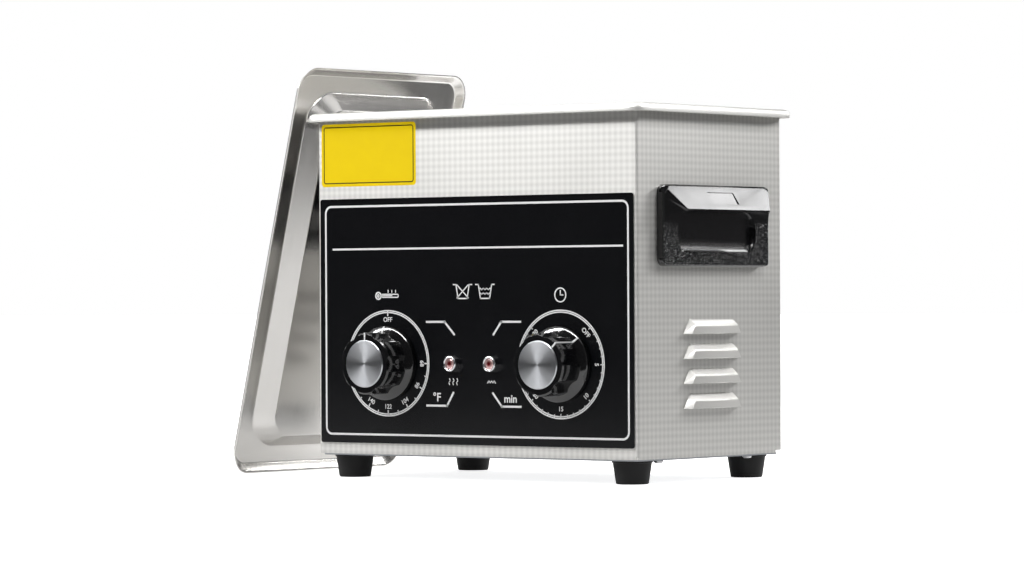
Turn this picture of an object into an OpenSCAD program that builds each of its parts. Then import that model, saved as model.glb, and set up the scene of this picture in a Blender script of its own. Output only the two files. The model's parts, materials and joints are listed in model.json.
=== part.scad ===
// Bench ultrasonic cleaner: a drawn steel tank hung in a folded sheet housing, with a printed
// front panel, two rotary controls, two lamps, moulded side handles and a lift-off steel lid.
// Millimetres, +Z up, front towards -Y, origin on the floor under the middle of the housing.

/* [Housing] */
// Width of the folded sheet housing
body_w = 250; // [235:1:300]
// Depth of the folded sheet housing
body_d = 152.8; // [142:0.2:200]
// Height of the sheet, from its lower fold to its top edge
body_h = 212.4; // [205:0.2:260]
// Thickness of the housing sheet
sheet_t = 0.8; // [0.6:0.1:1.2]
// Outer radius of the folded corners
fold_r = 1.6; // [1.4:0.1:3]
// Width of the flanges folded inwards at the rear and at the bottom
return_w = 11; // [9:0.5:12]
// Radius of the relief notch where the corner fold meets the bottom fold
relief_r = 1.4; // [0.8:0.1:2]
// Length of the notch at the lower rear corners, where the bottom fold ends
rear_notch_l = 6.8; // [4:0.2:10]
// Height of the notch at the lower rear corners
rear_notch_h = 1.6; // [1:0.1:2.4]

/* [Rear and base] */
// Gap left between the rear panel's side edges and the housing corner
rear_side_gap = 1.6; // [1.2:0.1:4]
// Gap left above and below the rear panel
rear_end_gap = 3; // [1:0.5:6]
// Thickness of the base plate
base_t = 1; // [0.8:0.1:2]
// How far the base plate stays inside the housing's outline
base_inset = 1.5; // [0.5:0.5:3]
// Shank diameter of the sheet screws
sheet_screw_d = 3; // [2.5:0.5:4]
// Head diameter of the sheet screws
sheet_screw_head_d = 6; // [5:0.5:7]
// Head height of the sheet screws
sheet_screw_head_h = 1.8; // [1.2:0.1:2.4]
// How far a sheet screw reaches into the housing
sheet_screw_l = 6; // [4:0.5:8]
// Clearance between a screw shank and its hole, on the radius
screw_clear = 0.15; // [0.05:0.05:0.3]
// Space left beyond the tip of a screw
screw_tip_gap = 0.5; // [0.3:0.1:1]

/* [Feet] */
// Height of the rubber feet
foot_h = 14.2; // [8:0.2:20]
// Diameter of the lip at the top of a foot
foot_top_d = 25; // [20:0.2:28]
// Diameter of a foot where it meets the floor
foot_low_d = 20; // [15:0.2:22]
// Thickness of the lip at the top of a foot
foot_lip = 1.2; // [0.8:0.1:2]
// How far the lip stands out round the top of a foot
foot_lip_out = 0.6; // [0.3:0.1:1]
// Chamfer round the lower edge of a foot
foot_edge = 0.6; // [0.3:0.1:1]
// Distance from the housing's outer faces to the middle of a foot
foot_inset = 16; // [15.5:0.5:24]
// Diameter of the screw pocket under a foot
foot_pocket_d = 10; // [9:0.5:12]
// Depth of the screw pocket under a foot
foot_pocket_h = 5; // [4:0.5:6]
// Shank diameter of the foot screws
foot_screw_d = 4; // [3:0.5:5]
// Head diameter of the foot screws
foot_screw_head_d = 8; // [7:0.5:8.5]
// Head height of the foot screws
foot_screw_head_h = 2.6; // [2:0.1:3.5]
// Width across the flats of the foot nuts
foot_nut_af = 7; // [6:0.5:8]
// Height of the foot nuts
foot_nut_h = 3.2; // [2.4:0.2:4]

/* [Tank] */
// Gap between the housing sheet and the tank wall
tank_gap = 3.2; // [2.6:0.1:8]
// Thickness of the drawn tank sheet
tank_t = 1; // [0.8:0.1:1.4]
// Depth of the basin below the rim
tank_deep = 100; // [80:1:100]
// Radius of the basin's upright corners
tank_corner_r = 22; // [18:1:30]
// Radius between the basin's walls and its floor
tank_floor_r = 12; // [6:1:15]
// How far the rim stands out past the housing
rim_over = 7; // [5:0.5:9]
// Corner radius of the rim
rim_r = 10; // [6:0.5:14]
// Height of the rim's turned-down edge
rim_lip = 5.2; // [3:0.1:6]
// Thickness of the rubber gasket under the rim
gasket_t = 1.2; // [0.8:0.1:2]
// How far the gasket reaches in past the housing sheet
gasket_lap = 1.6; // [0.8:0.2:2]

/* [Front panel] */
// Margin between the panel and the housing's side faces
panel_side = 2.35; // [1.8:0.05:8]
// Height of the panel's lower edge above the housing's lower fold
panel_low = 6.9; // [4:0.1:10]
// Height of the panel
panel_h = 153.5; // [120:0.5:180]
// Thickness of the panel
panel_t = 0.8; // [0.4:0.1:1.5]
// Corner radius of the panel
panel_r = 1.5; // [0.5:0.5:4]

/* [Controls] */
// Distance of each control shaft from the panel's nearer side edge
control_inset = 54.85; // [45:0.05:64]
// Height of the control shafts above the housing's lower fold
control_z = 57.1; // [50:0.1:58]
// Height of the knob's grip above the panel
knob_h = 22.8; // [18:0.2:28]
// Radius of the grip over its ridges
grip_r = 19.2; // [17:0.1:21]
// Depth of the flutes in the grip
grip_flute_depth = 1.8; // [0.8:0.1:2.4]
// Radius of the flutes
flute_r = 12; // [6:0.5:14]
// Number of flutes round the grip
flute_n = 6; // [4:1:10]
// Radius of the skirt
skirt_r = 23.1; // [21:0.1:26]
// Height of the skirt's outer edge above the panel
skirt_edge = 3.6; // [3:0.1:5]
// Height above the panel at which the skirt meets the grip
skirt_top = 6.6; // [6:0.1:8]
// Running gap between the skirt and the panel
skirt_gap = 0.8; // [0.4:0.1:1.5]
// Wall thickness of the hollow skirt
skirt_wall = 1.8; // [1.2:0.1:2.2]
// Radius of the spun metal cap
cap_r = 14.7; // [12:0.1:15.5]
// Thickness of the spun metal cap
cap_t = 1.6; // [1.2:0.1:2.4]
// Chamfer round the cap's front edge
cap_edge = 0.4; // [0.2:0.1:0.6]
// How far the cap stands out of the grip
cap_out = 0.7; // [0.2:0.1:1]
// Clearance round the cap in its seat
cap_clear = 0.05; // [0.02:0.01:0.1]
// Diameter of the control shafts
shaft_d = 6; // [5:0.5:7]
// Depth of the flat on a control shaft
shaft_flat = 1.2; // [0.8:0.1:1.6]
// How far a shaft reaches into its knob, from the panel
shaft_out = 16; // [12:0.5:17]
// How far a shaft reaches into its control, from the housing sheet
shaft_in = 14; // [8:0.5:20]
// Running clearance between a shaft and its bore, on the radius
shaft_clear = 0.05; // [0.02:0.01:0.1]
// Clearance of the shaft holes in the sheet and panel, on the radius
shaft_hole_clear = 1; // [0.5:0.1:2]
// Spacing of the screws that hold a control
control_screw_gap = 28; // [24:0.5:29]
// Height of the heads of the control screws
control_head_h = 1.6; // [1.2:0.1:2]
// Width and height of the thermostat's case
thermostat_w = 38; // [36:1:44]
// Corner radius of the thermostat's case
thermostat_r = 3; // [1:0.5:5]
// Depth of the thermostat's case
thermostat_d = 30; // [26:1:34]
// Diameter of the timer's case
timer_d = 42; // [38:1:48]
// Depth of the timer's case
timer_l = 32; // [26:1:34]

/* [Temperature sensor] */
// Diameter of the sensing bulb
bulb_d = 6; // [5:0.5:8]
// Length of the sensing bulb
bulb_l = 60; // [40:1:60]
// Diameter of the capillary tube
capillary_d = 2; // [1.5:0.1:3]
// Length of the capillary between its bend and the bulb
capillary_run = 10; // [6:1:14]
// Distance from the front sheet to the middle of the bulb
bulb_y = 40; // [38:1:42]

/* [Lamps] */
// Distance of the lamps from the middle
lamp_x = 15.5; // [10:0.1:20]
// Diameter of a lamp's bezel
lamp_d = 10; // [9:0.1:12]
// How far a bezel stands out of the panel
lamp_out = 4.7; // [3:0.1:7]
// Height of the rounded edge of a lamp's bezel
lamp_edge = 1; // [0.6:0.1:1.4]
// Diameter of a lamp's threaded sleeve
lamp_sleeve_d = 8; // [7.4:0.1:8.4]
// Length of the sleeve behind the panel
lamp_sleeve_l = 20; // [12:1:30]
// Diameter of a lamp's lens
lamp_lens_d = 6.4; // [5:0.1:6.6]
// Depth of the lens below the bezel's front edge
lamp_lens_in = 0.8; // [0.4:0.1:1.5]
// Chamfer round a lamp's lens
lens_edge = 0.6; // [0.3:0.1:0.8]
// Crown of a lamp's lens
lens_crown = 0.3; // [0.1:0.05:0.5]
// How far a lamp's lens stays short of its sleeve's end
lens_short = 2; // [1:0.5:4]
// Clearance of the sleeve in the sheet and in its nut, on the radius
lamp_clear = 0.1; // [0.05:0.05:0.2]
// Width across the flats of a lamp's nut
lamp_nut_af = 11; // [10:0.5:13]
// Height of a lamp's nut
lamp_nut_h = 2.5; // [2:0.1:4]

/* [Handles] */
// Length of a handle
handle_w = 112; // [104:0.5:120]
// Height of a handle
handle_h = 49.5; // [46:0.5:56]
// Height of a handle's middle above the housing's lower fold
handle_z = 141; // [120:0.5:160]
// Corner radius of a handle
handle_r = 5; // [2:0.5:6]
// Thickness of a handle's frame
handle_t = 5.1; // [4.4:0.1:6]
// Chamfer round a handle's frame
handle_edge = 1; // [0.5:0.1:1.5]
// How far the hood's lip stands out of the housing
hood_out = 14.3; // [11:0.1:18]
// Length of the hood's lip
hood_lip_w = 87; // [84:0.5:92]
// Distance from the top of a handle down to the hood's lip
hood_drop = 14.9; // [12:0.1:17]
// Height of the hood's lip
hood_lip_h = 1.1; // [0.8:0.1:2]
// Thickness of the hood's wall
hood_wall = 2.6; // [2:0.1:3]
// Radius of the arch under the hood's ends
hood_arch_r = 12; // [10:0.5:14]
// Corner radius of the hood, seen from the side
hood_r = 6.5; // [3:0.5:8]
// Length of the finger opening
finger_w = 82; // [76:0.5:84]
// Distance from the bottom of a handle up to the finger opening
finger_low = 8; // [7:0.1:10]
// Corner radius of the finger opening
finger_r = 10; // [6:0.5:11]
// Thickness left behind the finger opening
finger_back = 1.4; // [1:0.1:2]
// Radius of the rounded scoop at the bottom of the finger opening
finger_scoop = 13; // [8:0.5:14]
// Depth of the flat in front of the scoop
scoop_flat = 0.3; // [0.2:0.1:0.6]
// Height of the hollow inside the hood above its lip
hood_hollow = 9.7; // [7:0.1:10.5]
// Length of the plain sunk field on the hood
field_w = 27.5; // [20:0.5:40]
// Height of the plain sunk field, along the slope
field_h = 8.6; // [6:0.1:10]
// Depth of the plain sunk field
field_deep = 0.5; // [0.3:0.1:0.8]
// Distance of a handle's screws from its middle
handle_screw_y = 48.5; // [46.5:0.1:49.5]
// Distance of a handle's screws below its middle
handle_screw_low = 11; // [8:0.5:13]
// Depth that a handle's screws reach into the frame
handle_screw_l = 3.6; // [2.5:0.1:3.8]

/* [Louvres] */
// Number of louvres in each side
louvre_n = 4; // [2:1:4]
// Spacing of the louvres
louvre_pitch = 15.2; // [13:0.1:16]
// Height of the top louvre's upper edge above the housing's lower fold
louvre_top = 84.5; // [72:0.5:92]
// Length of a louvre
louvre_l = 58; // [40:1:80]
// Height of a louvre
louvre_h = 9.3; // [7:0.1:11]
// How far a louvre is pressed out of the side
louvre_out = 4.5; // [3:0.1:4.7]
// Height of the sloping brow of a louvre
louvre_brow = 4; // [2.5:0.1:5]
// Angle at which a louvre's ends lean in towards its top
louvre_end_lean = 30; // [15:1:40]
// Angle at which a louvre's ends lean in towards its front
louvre_end_turn = 34; // [15:1:40]

/* [Transducers] */
// Distance of the transducers from the middle
transducer_x = 58; // [45:0.5:62]
// Distance of the transducers behind the middle
transducer_y = 12; // [8:0.5:16]
// Diameter of the front mass where it is bonded to the tank
horn_d = 58; // [50:1:62]
// Diameter of the ceramic rings and the masses next to them
ceramic_d = 44; // [38:0.5:46]
// Bore of the ceramic rings
ceramic_bore = 17; // [14:0.5:20]
// Thickness of one ceramic ring
ceramic_t = 5; // [3:0.5:6]
// Thickness of the electrode foil between the ceramic rings
electrode_t = 0.4; // [0.2:0.1:0.6]
// Length of the electrode's solder tab
electrode_tab = 7; // [4:0.5:8]
// Width of the solder tab
electrode_tab_w = 5; // [3:0.5:7]
// Height of the front mass
horn_h = 22; // [16:0.5:24]
// Height of the narrow neck of a horn
horn_neck = 7.7; // [5:0.1:10]
// Height of the rim of a horn's wide end
horn_rim = 2; // [1:0.5:4]
// Height of the back mass
back_mass_h = 18; // [12:0.5:20]
// Diameter of the clamping bolt
clamp_d = 10; // [8:0.5:10]
// Clearance of the clamping bolt, on the radius
clamp_clear = 0.3; // [0.1:0.05:0.5]
// Depth that the clamping bolt reaches into the front mass
clamp_in = 12; // [8:0.5:13]
// Width across the flats of the clamping bolt's head
clamp_af = 16; // [14:0.5:17]
// Height of the clamping bolt's head
clamp_head_h = 7; // [5:0.5:8]

/* [Heaters] */
// Length of a heater pad
heater_w = 160; // [100:1:180]
// Height of a heater pad
heater_h = 50; // [30:1:60]
// Thickness of a heater pad
heater_t = 1.8; // [1:0.1:2.2]
// Depth of a heater pad's middle below the rim
heater_low = 55; // [45:1:60]

/* [Driver] */
// Width of the driver board
board_w = 170; // [160:1:200]
// Depth of the driver board
board_d = 70; // [64:1:76]
// Thickness of the driver board
board_t = 1.6; // [1.2:0.1:2]
// Distance of the driver board behind the middle
board_y = 22; // [16:0.5:26]
// Height of the standoffs under the driver board
standoff_h = 8; // [5:0.5:10]
// Diameter of the standoffs
standoff_d = 6; // [5:0.5:8]
// Distance of the standoffs from the board's edges
standoff_inset = 5; // [4.5:0.5:8]
// Width of the transformer's core
core_w = 46; // [40:1:50]
// Height of the transformer's core
core_h = 36; // [30:1:36]
// Depth of the transformer's core
core_d = 22; // [16:1:26]
// How far the transformer's winding stands out of its core
winding_out = 7; // [4:0.5:8]
// Width of the transformer's winding
winding_w = 28; // [24:1:32]
// Height of the transformer's winding
winding_h = 22; // [18:1:26]
// Corner radius of the transformer's winding
winding_r = 4; // [3:0.5:6]
// Width of the heatsink
sink_w = 40; // [30:1:44]
// Height of the heatsink
sink_h = 30; // [20:1:36]
// Number of the heatsink's fins
sink_fins = 6; // [4:1:8]
// Thickness of the heatsink's fins and back
sink_t = 2; // [1.5:0.1:2.5]
// Depth of the heatsink's fins
sink_d = 18; // [10:1:24]
// Diameter of the capacitors
capacitor_d = 16; // [12:0.5:18]
// Height of the capacitors
capacitor_h = 28; // [20:1:34]
// Space between two capacitors
capacitor_gap = 3; // [2:0.5:4]

/* [Mains inlet] */
// Distance of the inlet's middle from the housing's side
inlet_inset = 43; // [41:1:65]
// Height of the inlet's middle above the housing's lower fold
inlet_z = 84; // [78:1:90]
// Width of the inlet's flange
inlet_flange_w = 50; // [48:0.5:54]
// Height of the inlet's flange
inlet_flange_h = 26; // [24:0.5:28]
// Thickness of the inlet's flange
inlet_flange_t = 2.5; // [2:0.1:4]
// Corner radius of the inlet's flange
inlet_flange_r = 5; // [2:0.5:8]
// Spacing of the inlet's screws
inlet_screw_gap = 40; // [38:0.5:42]
// Width of the socket
socket_w = 24.4; // [24:0.1:25]
// Height of the socket
socket_h = 16.6; // [16.2:0.1:17.2]
// Depth of the socket
socket_deep = 17; // [15:0.5:18]
// Wall round the socket
socket_wall = 2; // [1.5:0.1:2.4]
// Cut corner of the socket
socket_cut = 4.4; // [3:0.1:5]
// Spacing of the two lower pins
pin_gap = 14; // [14:0.1:14.2]
// How far the earth pin stands above the other two
pin_step = 4; // [3.8:0.1:4.2]
// Drop of the lower pins from the socket's middle
pin_drop = 1; // [0.8:0.1:1.2]
// Thickness of a pin
pin_w = 2; // [1.8:0.1:2]
// Height of a pin's section
pin_h = 4; // [3.8:0.1:4]
// How far the pins stand back from the socket's mouth
pin_back = 2; // [1:0.5:4]
// Clearance of the inlet's body in the rear panel
inlet_clear = 0.3; // [0.1:0.1:0.6]

/* [Lid] */
// How far the lid reaches past the rim
lid_over = 1.5; // [1:0.1:3]
// Thickness of the lid's sheet
lid_t = 0.8; // [0.6:0.1:1.2]
// Corner radius of the lid
lid_r = 16; // [12:0.5:20]
// Width of the lid's flared edge
lid_lip = 4.5; // [3.5:0.1:6]
// Drop of the lid's flared edge
lid_drop = 4.5; // [3:0.1:6]
// Clearance between the lid's pan and the basin
lid_clear = 3; // [2:0.1:5]
// Depth of the lid's pan
pan_h = 11; // [8:0.2:14]
// Slope of the pan's sides, measured across
pan_draft = 9.6; // [6:0.2:12]
// Corner radius of the pan at the flange
pan_r = 24; // [20:0.5:30]
// Lean of the standing lid from upright, in degrees
lid_lean = 13.5; // [10:0.5:18]
// Gap between the standing lid and the rim, and above the floor
lid_gap = 0.4; // [0.3:0.05:0.8]
// Distance of the standing lid's middle behind the housing's middle
lid_y = 2; // [-5:0.5:5]
// Length of the lid's handle
grab_l = 92; // [80:1:110]
// Width of the lid's handle
grab_w = 16; // [12:0.5:20]
// Height of the lid's handle above the pan
grab_h = 30; // [26:0.5:36]
// Thickness of the lid handle's bar
grab_t = 8; // [6:0.5:10]
// Length of the finger gap in the lid's handle
grab_gap = 60; // [50:1:66]
// How far the ends of the lid's handle slope in
grab_slope = 8; // [4:0.5:10]
// Depth that the lid handle's screws reach into it
grab_screw_l = 12; // [8:0.5:14]

/* [Hidden] */
$fn = 72;
eps = 0.02;
body_z = foot_h + base_t;
body_top = body_z + body_h;
rim_z = body_top + gasket_t + tank_t;
tank_w = body_w - 2 * (sheet_t + tank_gap + tank_t);
tank_d = body_d - 2 * (sheet_t + tank_gap + tank_t);
rim_w = body_w + 2 * rim_over;
rim_d = body_d + 2 * rim_over;
tank_under = rim_z - tank_deep - tank_t;
panel_w = body_w - 2 * panel_side;
control_x = panel_w / 2 - control_inset;
rear_opening = body_w - 2 * return_w;
rear_w = body_w - 2 * (fold_r + rear_side_gap);
rear_h = body_h - 2 * rear_end_gap;
shaft_flat_y = shaft_d / 2 - shaft_flat;
brow_slope = atan2(louvre_brow, louvre_out);
hood_lip_z = handle_h / 2 - hood_drop - hood_lip_h;
hood_slope = atan2(hood_out - handle_t, hood_drop);
hood_inner_x = hood_out - hood_wall / cos(hood_slope) + hood_lip_h * tan(hood_slope);
finger_z = -handle_h / 2 + finger_low;
scoop_d = handle_t - finger_back - scoop_flat;
scoop_h = sqrt(finger_scoop * finger_scoop - (finger_scoop - scoop_d) * (finger_scoop - scoop_d));
inlet_x = body_w / 2 - inlet_inset;
board_z = body_z + standoff_h;
ring_stack = 2 * ceramic_t + electrode_t;
transducer_low = tank_under - horn_h - ring_stack - back_mass_h;
inlet_body_w = socket_w + 2 * socket_wall;
inlet_body_h = socket_h + 2 * socket_wall;
lid_l = rim_w + 2 * lid_over;
lid_w = rim_d + 2 * lid_over;
pan_l = tank_w - 2 * lid_clear;
pan_w = tank_d - 2 * lid_clear;
lid_stand_z = lid_gap + lid_l / 2 * cos(lid_lean) + lid_drop * sin(lid_lean);
lid_reach = (rim_z - lid_stand_z) / cos(lid_lean);
pan_wall = pan_h / pan_draft;
pan_touch = pan_wall * (pan_l / 2 - lid_reach) / (1 + pan_wall * tan(lid_lean));
rim_stand_x = -rim_w / 2 - lid_reach * sin(lid_lean)
    - (max(0, min(pan_h, pan_touch)) + lid_gap) / cos(lid_lean);
pan_edge = pan_l / 2 - pan_draft;
pan_edge_z = lid_stand_z + pan_edge * cos(lid_lean) - pan_h * sin(lid_lean);
pan_edge_rest = pan_edge_z > rim_z - rim_lip ? rim_w / 2 : body_w / 2;
edge_stand_x = -pan_edge_rest - lid_gap - pan_edge * sin(lid_lean) - pan_h * cos(lid_lean);
lid_stand_x = pan_edge_z > rim_z ? rim_stand_x : min(rim_stand_x, edge_stand_x);
grab_screw_x = (grab_l + grab_gap) / 4;
foot_places = [for (sy = [-1, 1], sx = [-1, 1])
    [sx * (body_w / 2 - foot_inset), sy * (body_d / 2 - foot_inset)]];
base_screw_places = [for (sx = [-1, 1], y = [-0.308, 0.308])
    [sx * (body_w / 2 - sheet_t - return_w / 2), y * body_d]];
rear_screw_places = [for (sx = [-1, 1], k = [0.12, 0.5, 0.88])
    [sx * (body_w / 2 - sheet_t - return_w / 2), body_z + k * body_h]];
standoff_places = [for (sx = [-1, 1], sy = [-1, 1])
    [sx * (board_w / 2 - standoff_inset), board_y + sy * (board_d / 2 - standoff_inset)]];

// Rounded rectangle centred on the origin
module round_rect(w, d, r) {
  square([w - 2 * r, d], center = true);
  square([w, d - 2 * r], center = true);
  for (sx = [-1, 1], sy = [-1, 1])
    translate([sx * (w / 2 - r), sy * (d / 2 - r)]) circle(r = r);
}

// Block with rounded corners and sloping sides, w by d at its foot and less by draft at its top
module draft_block(w, d, h, r, draft) {
  rotate([90, 0, 0]) linear_extrude(d - 2 * r, center = true)
    polygon([[-w / 2, 0], [w / 2, 0], [w / 2 - draft, h], [-w / 2 + draft, h]]);
  rotate([90, 0, 90]) linear_extrude(w - 2 * r, center = true)
    polygon([[-d / 2, 0], [d / 2, 0], [d / 2 - draft, h], [-d / 2 + draft, h]]);
  for (sx = [-1, 1], sy = [-1, 1])
    translate([sx * (w / 2 - r), sy * (d / 2 - r), 0]) cylinder(h = h, r1 = r, r2 = r - draft);
}

// Deep-drawn form standing on z = 0, with rounded upright corners and a rounded floor edge
module drawn_form(w, d, h, corner, edge) {
  translate([0, 0, edge]) linear_extrude(h - edge) round_rect(w, d, corner);
  linear_extrude(edge) round_rect(w - 2 * edge, d - 2 * edge, corner - edge);
  for (s = [-1, 1]) {
    translate([0, s * (d / 2 - edge), edge]) rotate([0, 90, 0])
      cylinder(r = edge, h = w - 2 * corner, center = true);
    translate([s * (w / 2 - edge), 0, edge]) rotate([90, 0, 0])
      cylinder(r = edge, h = d - 2 * corner, center = true);
  }
  for (sx = [-1, 1], sy = [-1, 1])
    translate([sx * (w / 2 - corner), sy * (d / 2 - corner), 0]) rotate_extrude()
      union() {
        square([corner - edge, edge]);
        intersection() {
          translate([corner - edge, edge]) circle(r = edge);
          translate([corner - edge, 0]) square(edge);
        }
      }
}

// Places a part on the front sheet: its +Z points out of the front, its +Y points up
module on_front(x, z) {
  translate([x, -body_d / 2, body_z + z]) rotate([90, 0, 0]) children();
}

// Places a part on the rear flanges: its +Z points out of the rear
module on_rear(x, z) {
  translate([x, body_d / 2, z]) rotate([-90, 0, 0]) children();
}

// Places a part on the right side, or mirrored on the left: its +X points out of the side
module on_side(side) {
  mirror([side < 0 ? 1 : 0, 0, 0]) translate([body_w / 2, 0, body_z]) children();
}

// Pan-head screw: shank along +Z from the seat, head below it
module pan_screw(d, l, head_d, head_h) {
  rotate_extrude() polygon([[0, -head_h], [head_d * 0.35, -head_h], [head_d / 2, -head_h / 2],
    [head_d / 2, 0], [d / 2, 0], [d / 2, l], [0, l]]);
}

// One louvre pressed out of a side, with its lip at z = 0: inset shrinks it to its inner face, back
// carries it into the sheet, and low carries it below the lip
module louvre_form(inset, back, low) {
  front = louvre_out - inset;
  top = louvre_h - inset / cos(brow_slope);
  end = louvre_l / 2 - inset / cos(louvre_end_lean) / cos(louvre_end_turn);
  difference() {
    rotate([90, 0, 0]) linear_extrude(louvre_l, center = true)
      polygon([[-back, 0], [0, 0], [0, -low], [front, -low], [front, top - front * tan(brow_slope)],
        [0, top], [-back, top]]);
    for (s = [0, 1]) mirror([0, s, 0]) translate([0, end, 0])
      rotate([louvre_end_lean, 0, -louvre_end_turn]) translate([0, louvre_l / 2, 0])
        cube([2 * louvre_l, louvre_l, 2 * louvre_l], center = true);
  }
}

module louvre_places() {
  for (side = [-1, 1], k = [0 : louvre_n - 1])
    on_side(side) translate([0, 0, louvre_top - louvre_h - k * louvre_pitch]) children();
}

module housing() {
  inner_r = fold_r - sheet_t;
  color("silver") difference() {
    union() {
      translate([0, 0, body_z]) linear_extrude(body_h) difference() {
        round_rect(body_w, body_d, fold_r);
        round_rect(body_w - 2 * sheet_t, body_d - 2 * sheet_t, inner_r);
        translate([-rear_opening / 2, body_d / 2 - 2 * sheet_t])
          square([rear_opening, 4 * sheet_t]);
      }
      translate([0, 0, body_z]) linear_extrude(sheet_t) difference() {
        round_rect(body_w, body_d, fold_r);
        translate([-rear_opening / 2, -body_d / 2 + return_w])
          square([rear_opening, body_d]);
      }
      louvre_places() louvre_form(0, sheet_t / 2, 0);
    }
    louvre_places() louvre_form(sheet_t, 2 * sheet_t, 1);
    for (sx = [-1, 1]) translate([sx * body_w / 2, -body_d / 2, body_z - eps])
      cylinder(r = relief_r, h = 1.5 * relief_r);
    for (sx = [-1, 1])
      translate([sx * body_w / 2, body_d / 2, body_z]) cube([2 * return_w, 2 * rear_notch_l,
          2 * rear_notch_h], center = true);
    control_holes(-sheet_t);
    lamp_holes(-sheet_t);
    for (side = [-1, 1], s = [-1, 1])
      on_side(side) translate([-2 * sheet_t, s * handle_screw_y, handle_z - handle_screw_low])
        rotate([0, 90, 0]) cylinder(r = sheet_screw_d / 2 + screw_clear, h = 3 * sheet_t);
    for (p = base_screw_places) translate([p[0], p[1], body_z - eps])
      cylinder(r = sheet_screw_d / 2 + screw_clear, h = 2 * sheet_t);
    for (p = rear_screw_places) on_rear(p[0], p[1]) translate([0, 0, -2 * sheet_t])
      cylinder(r = sheet_screw_d / 2 + screw_clear, h = 3 * sheet_t);
  }
}

// Holes for the two shafts and their screws, from depth z outwards through the panel
module control_holes(z) {
  for (sx = [-1, 1]) on_front(sx * control_x, control_z) translate([0, 0, z - 1]) {
    cylinder(r = shaft_d / 2 + shaft_hole_clear, h = panel_t - z + 2);
    for (sy = [-1, 1]) translate([0, sy * control_screw_gap / 2, 0])
      cylinder(r = sheet_screw_d / 2 + screw_clear, h = panel_t - z + 2);
  }
}

// Holes for the two lamp sleeves, from depth z outwards through the panel
module lamp_holes(z) {
  for (sx = [-1, 1]) on_front(sx * lamp_x, control_z) translate([0, 0, z - 1])
    cylinder(r = lamp_sleeve_d / 2 + lamp_clear, h = panel_t - z + 2);
}

module rear_panel() {
  color("silver") difference() {
    on_rear(0, body_z + body_h / 2) linear_extrude(sheet_t) round_rect(rear_w, rear_h, 2);
    for (p = rear_screw_places) on_rear(p[0], p[1]) translate([0, 0, -sheet_t])
      cylinder(r = sheet_screw_d / 2 + screw_clear, h = 3 * sheet_t);
    on_rear(inlet_x, body_z + inlet_z) translate([0, 0, -sheet_t]) {
      linear_extrude(3 * sheet_t) square([inlet_body_w + 2 * inlet_clear,
          inlet_body_h + 2 * inlet_clear], center = true);
      for (sx = [-1, 1]) translate([sx * inlet_screw_gap / 2, 0, 0])
        cylinder(r = sheet_screw_d / 2 + screw_clear, h = 3 * sheet_t);
    }
  }
}

module base_plate() {
  color("gray") translate([0, 0, foot_h]) difference() {
    linear_extrude(base_t)
      round_rect(body_w - 2 * base_inset, body_d - 2 * base_inset, fold_r + base_inset);
    for (p = foot_places) translate([p[0], p[1], -eps])
      cylinder(r = foot_screw_d / 2 + screw_clear, h = base_t + 2 * eps);
    for (p = base_screw_places) translate([p[0], p[1], -eps])
      cylinder(r = sheet_screw_d / 2 + screw_clear, h = base_t + 2 * eps);
  }
}

module tank() {
  color("lightgray") difference() {
    union() {
      translate([0, 0, rim_z - tank_t]) linear_extrude(tank_t) round_rect(rim_w, rim_d, rim_r);
      translate([0, 0, rim_z - rim_lip]) linear_extrude(rim_lip) difference() {
        round_rect(rim_w, rim_d, rim_r);
        round_rect(rim_w - 2 * tank_t, rim_d - 2 * tank_t, rim_r - tank_t);
      }
      translate([0, 0, tank_under]) drawn_form(tank_w + 2 * tank_t, tank_d + 2 * tank_t,
        tank_deep + tank_t / 2, tank_corner_r + tank_t, tank_floor_r + tank_t);
    }
    translate([0, 0, rim_z - tank_deep])
      drawn_form(tank_w, tank_d, tank_deep + 1, tank_corner_r, tank_floor_r);
  }
}

module tank_gasket() {
  lap = sheet_t + gasket_lap;
  color("dimgray") translate([0, 0, body_top]) linear_extrude(gasket_t) difference() {
    round_rect(body_w, body_d, fold_r);
    square([body_w - 2 * lap, body_d - 2 * lap], center = true);
  }
}

module front_panel() {
  color("black") difference() {
    on_front(0, panel_low + panel_h / 2) linear_extrude(panel_t)
      round_rect(panel_w, panel_h, panel_r);
    control_holes(0);
    lamp_holes(0);
  }
}

// Knob with its grip, hollow skirt and shaft bore: z = 0 is the panel, the mark points to +Y
module knob_form() {
  seat = knob_h - cap_t + cap_out;
  difference() {
    union() {
      intersection() {
        linear_extrude(knob_h) difference() {
          circle(r = grip_r);
          for (k = [0 : flute_n - 1]) rotate((k + 0.5) * 360 / flute_n)
            translate([0, grip_r - grip_flute_depth + flute_r]) circle(r = flute_r);
        }
        rotate_extrude() polygon([[0, skirt_edge], [grip_r, skirt_edge],
          [grip_r, knob_h - 1], [grip_r - 1, knob_h], [0, knob_h]]);
      }
      rotate_extrude() polygon([[0, skirt_gap], [skirt_r, skirt_gap], [skirt_r, skirt_edge],
        [skirt_r - 1, skirt_edge + 1], [grip_r - grip_flute_depth, skirt_top], [0, skirt_top]]);
    }
    translate([0, 0, skirt_gap - eps])
      cylinder(r = skirt_r - skirt_wall, h = skirt_edge - skirt_gap + eps);
    translate([0, 0, seat]) cylinder(r = cap_r + cap_clear, h = cap_t);
    linear_extrude(shaft_out + shaft_clear) shaft_plan(shaft_clear);
  }
}

// Shaft outline with its flat towards -Y, grown by clear
module shaft_plan(clear) {
  intersection() {
    circle(r = shaft_d / 2 + clear);
    translate([-shaft_d, -shaft_flat_y - clear]) square([2 * shaft_d, 2 * shaft_d]);
  }
}

module knob_cap_form() {
  seat = knob_h - cap_t + cap_out;
  translate([0, 0, seat]) rotate_extrude() polygon([[0, 0], [cap_r, 0], [cap_r, cap_t - cap_edge],
    [cap_r - cap_edge, cap_t], [0, cap_t]]);
}

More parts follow.
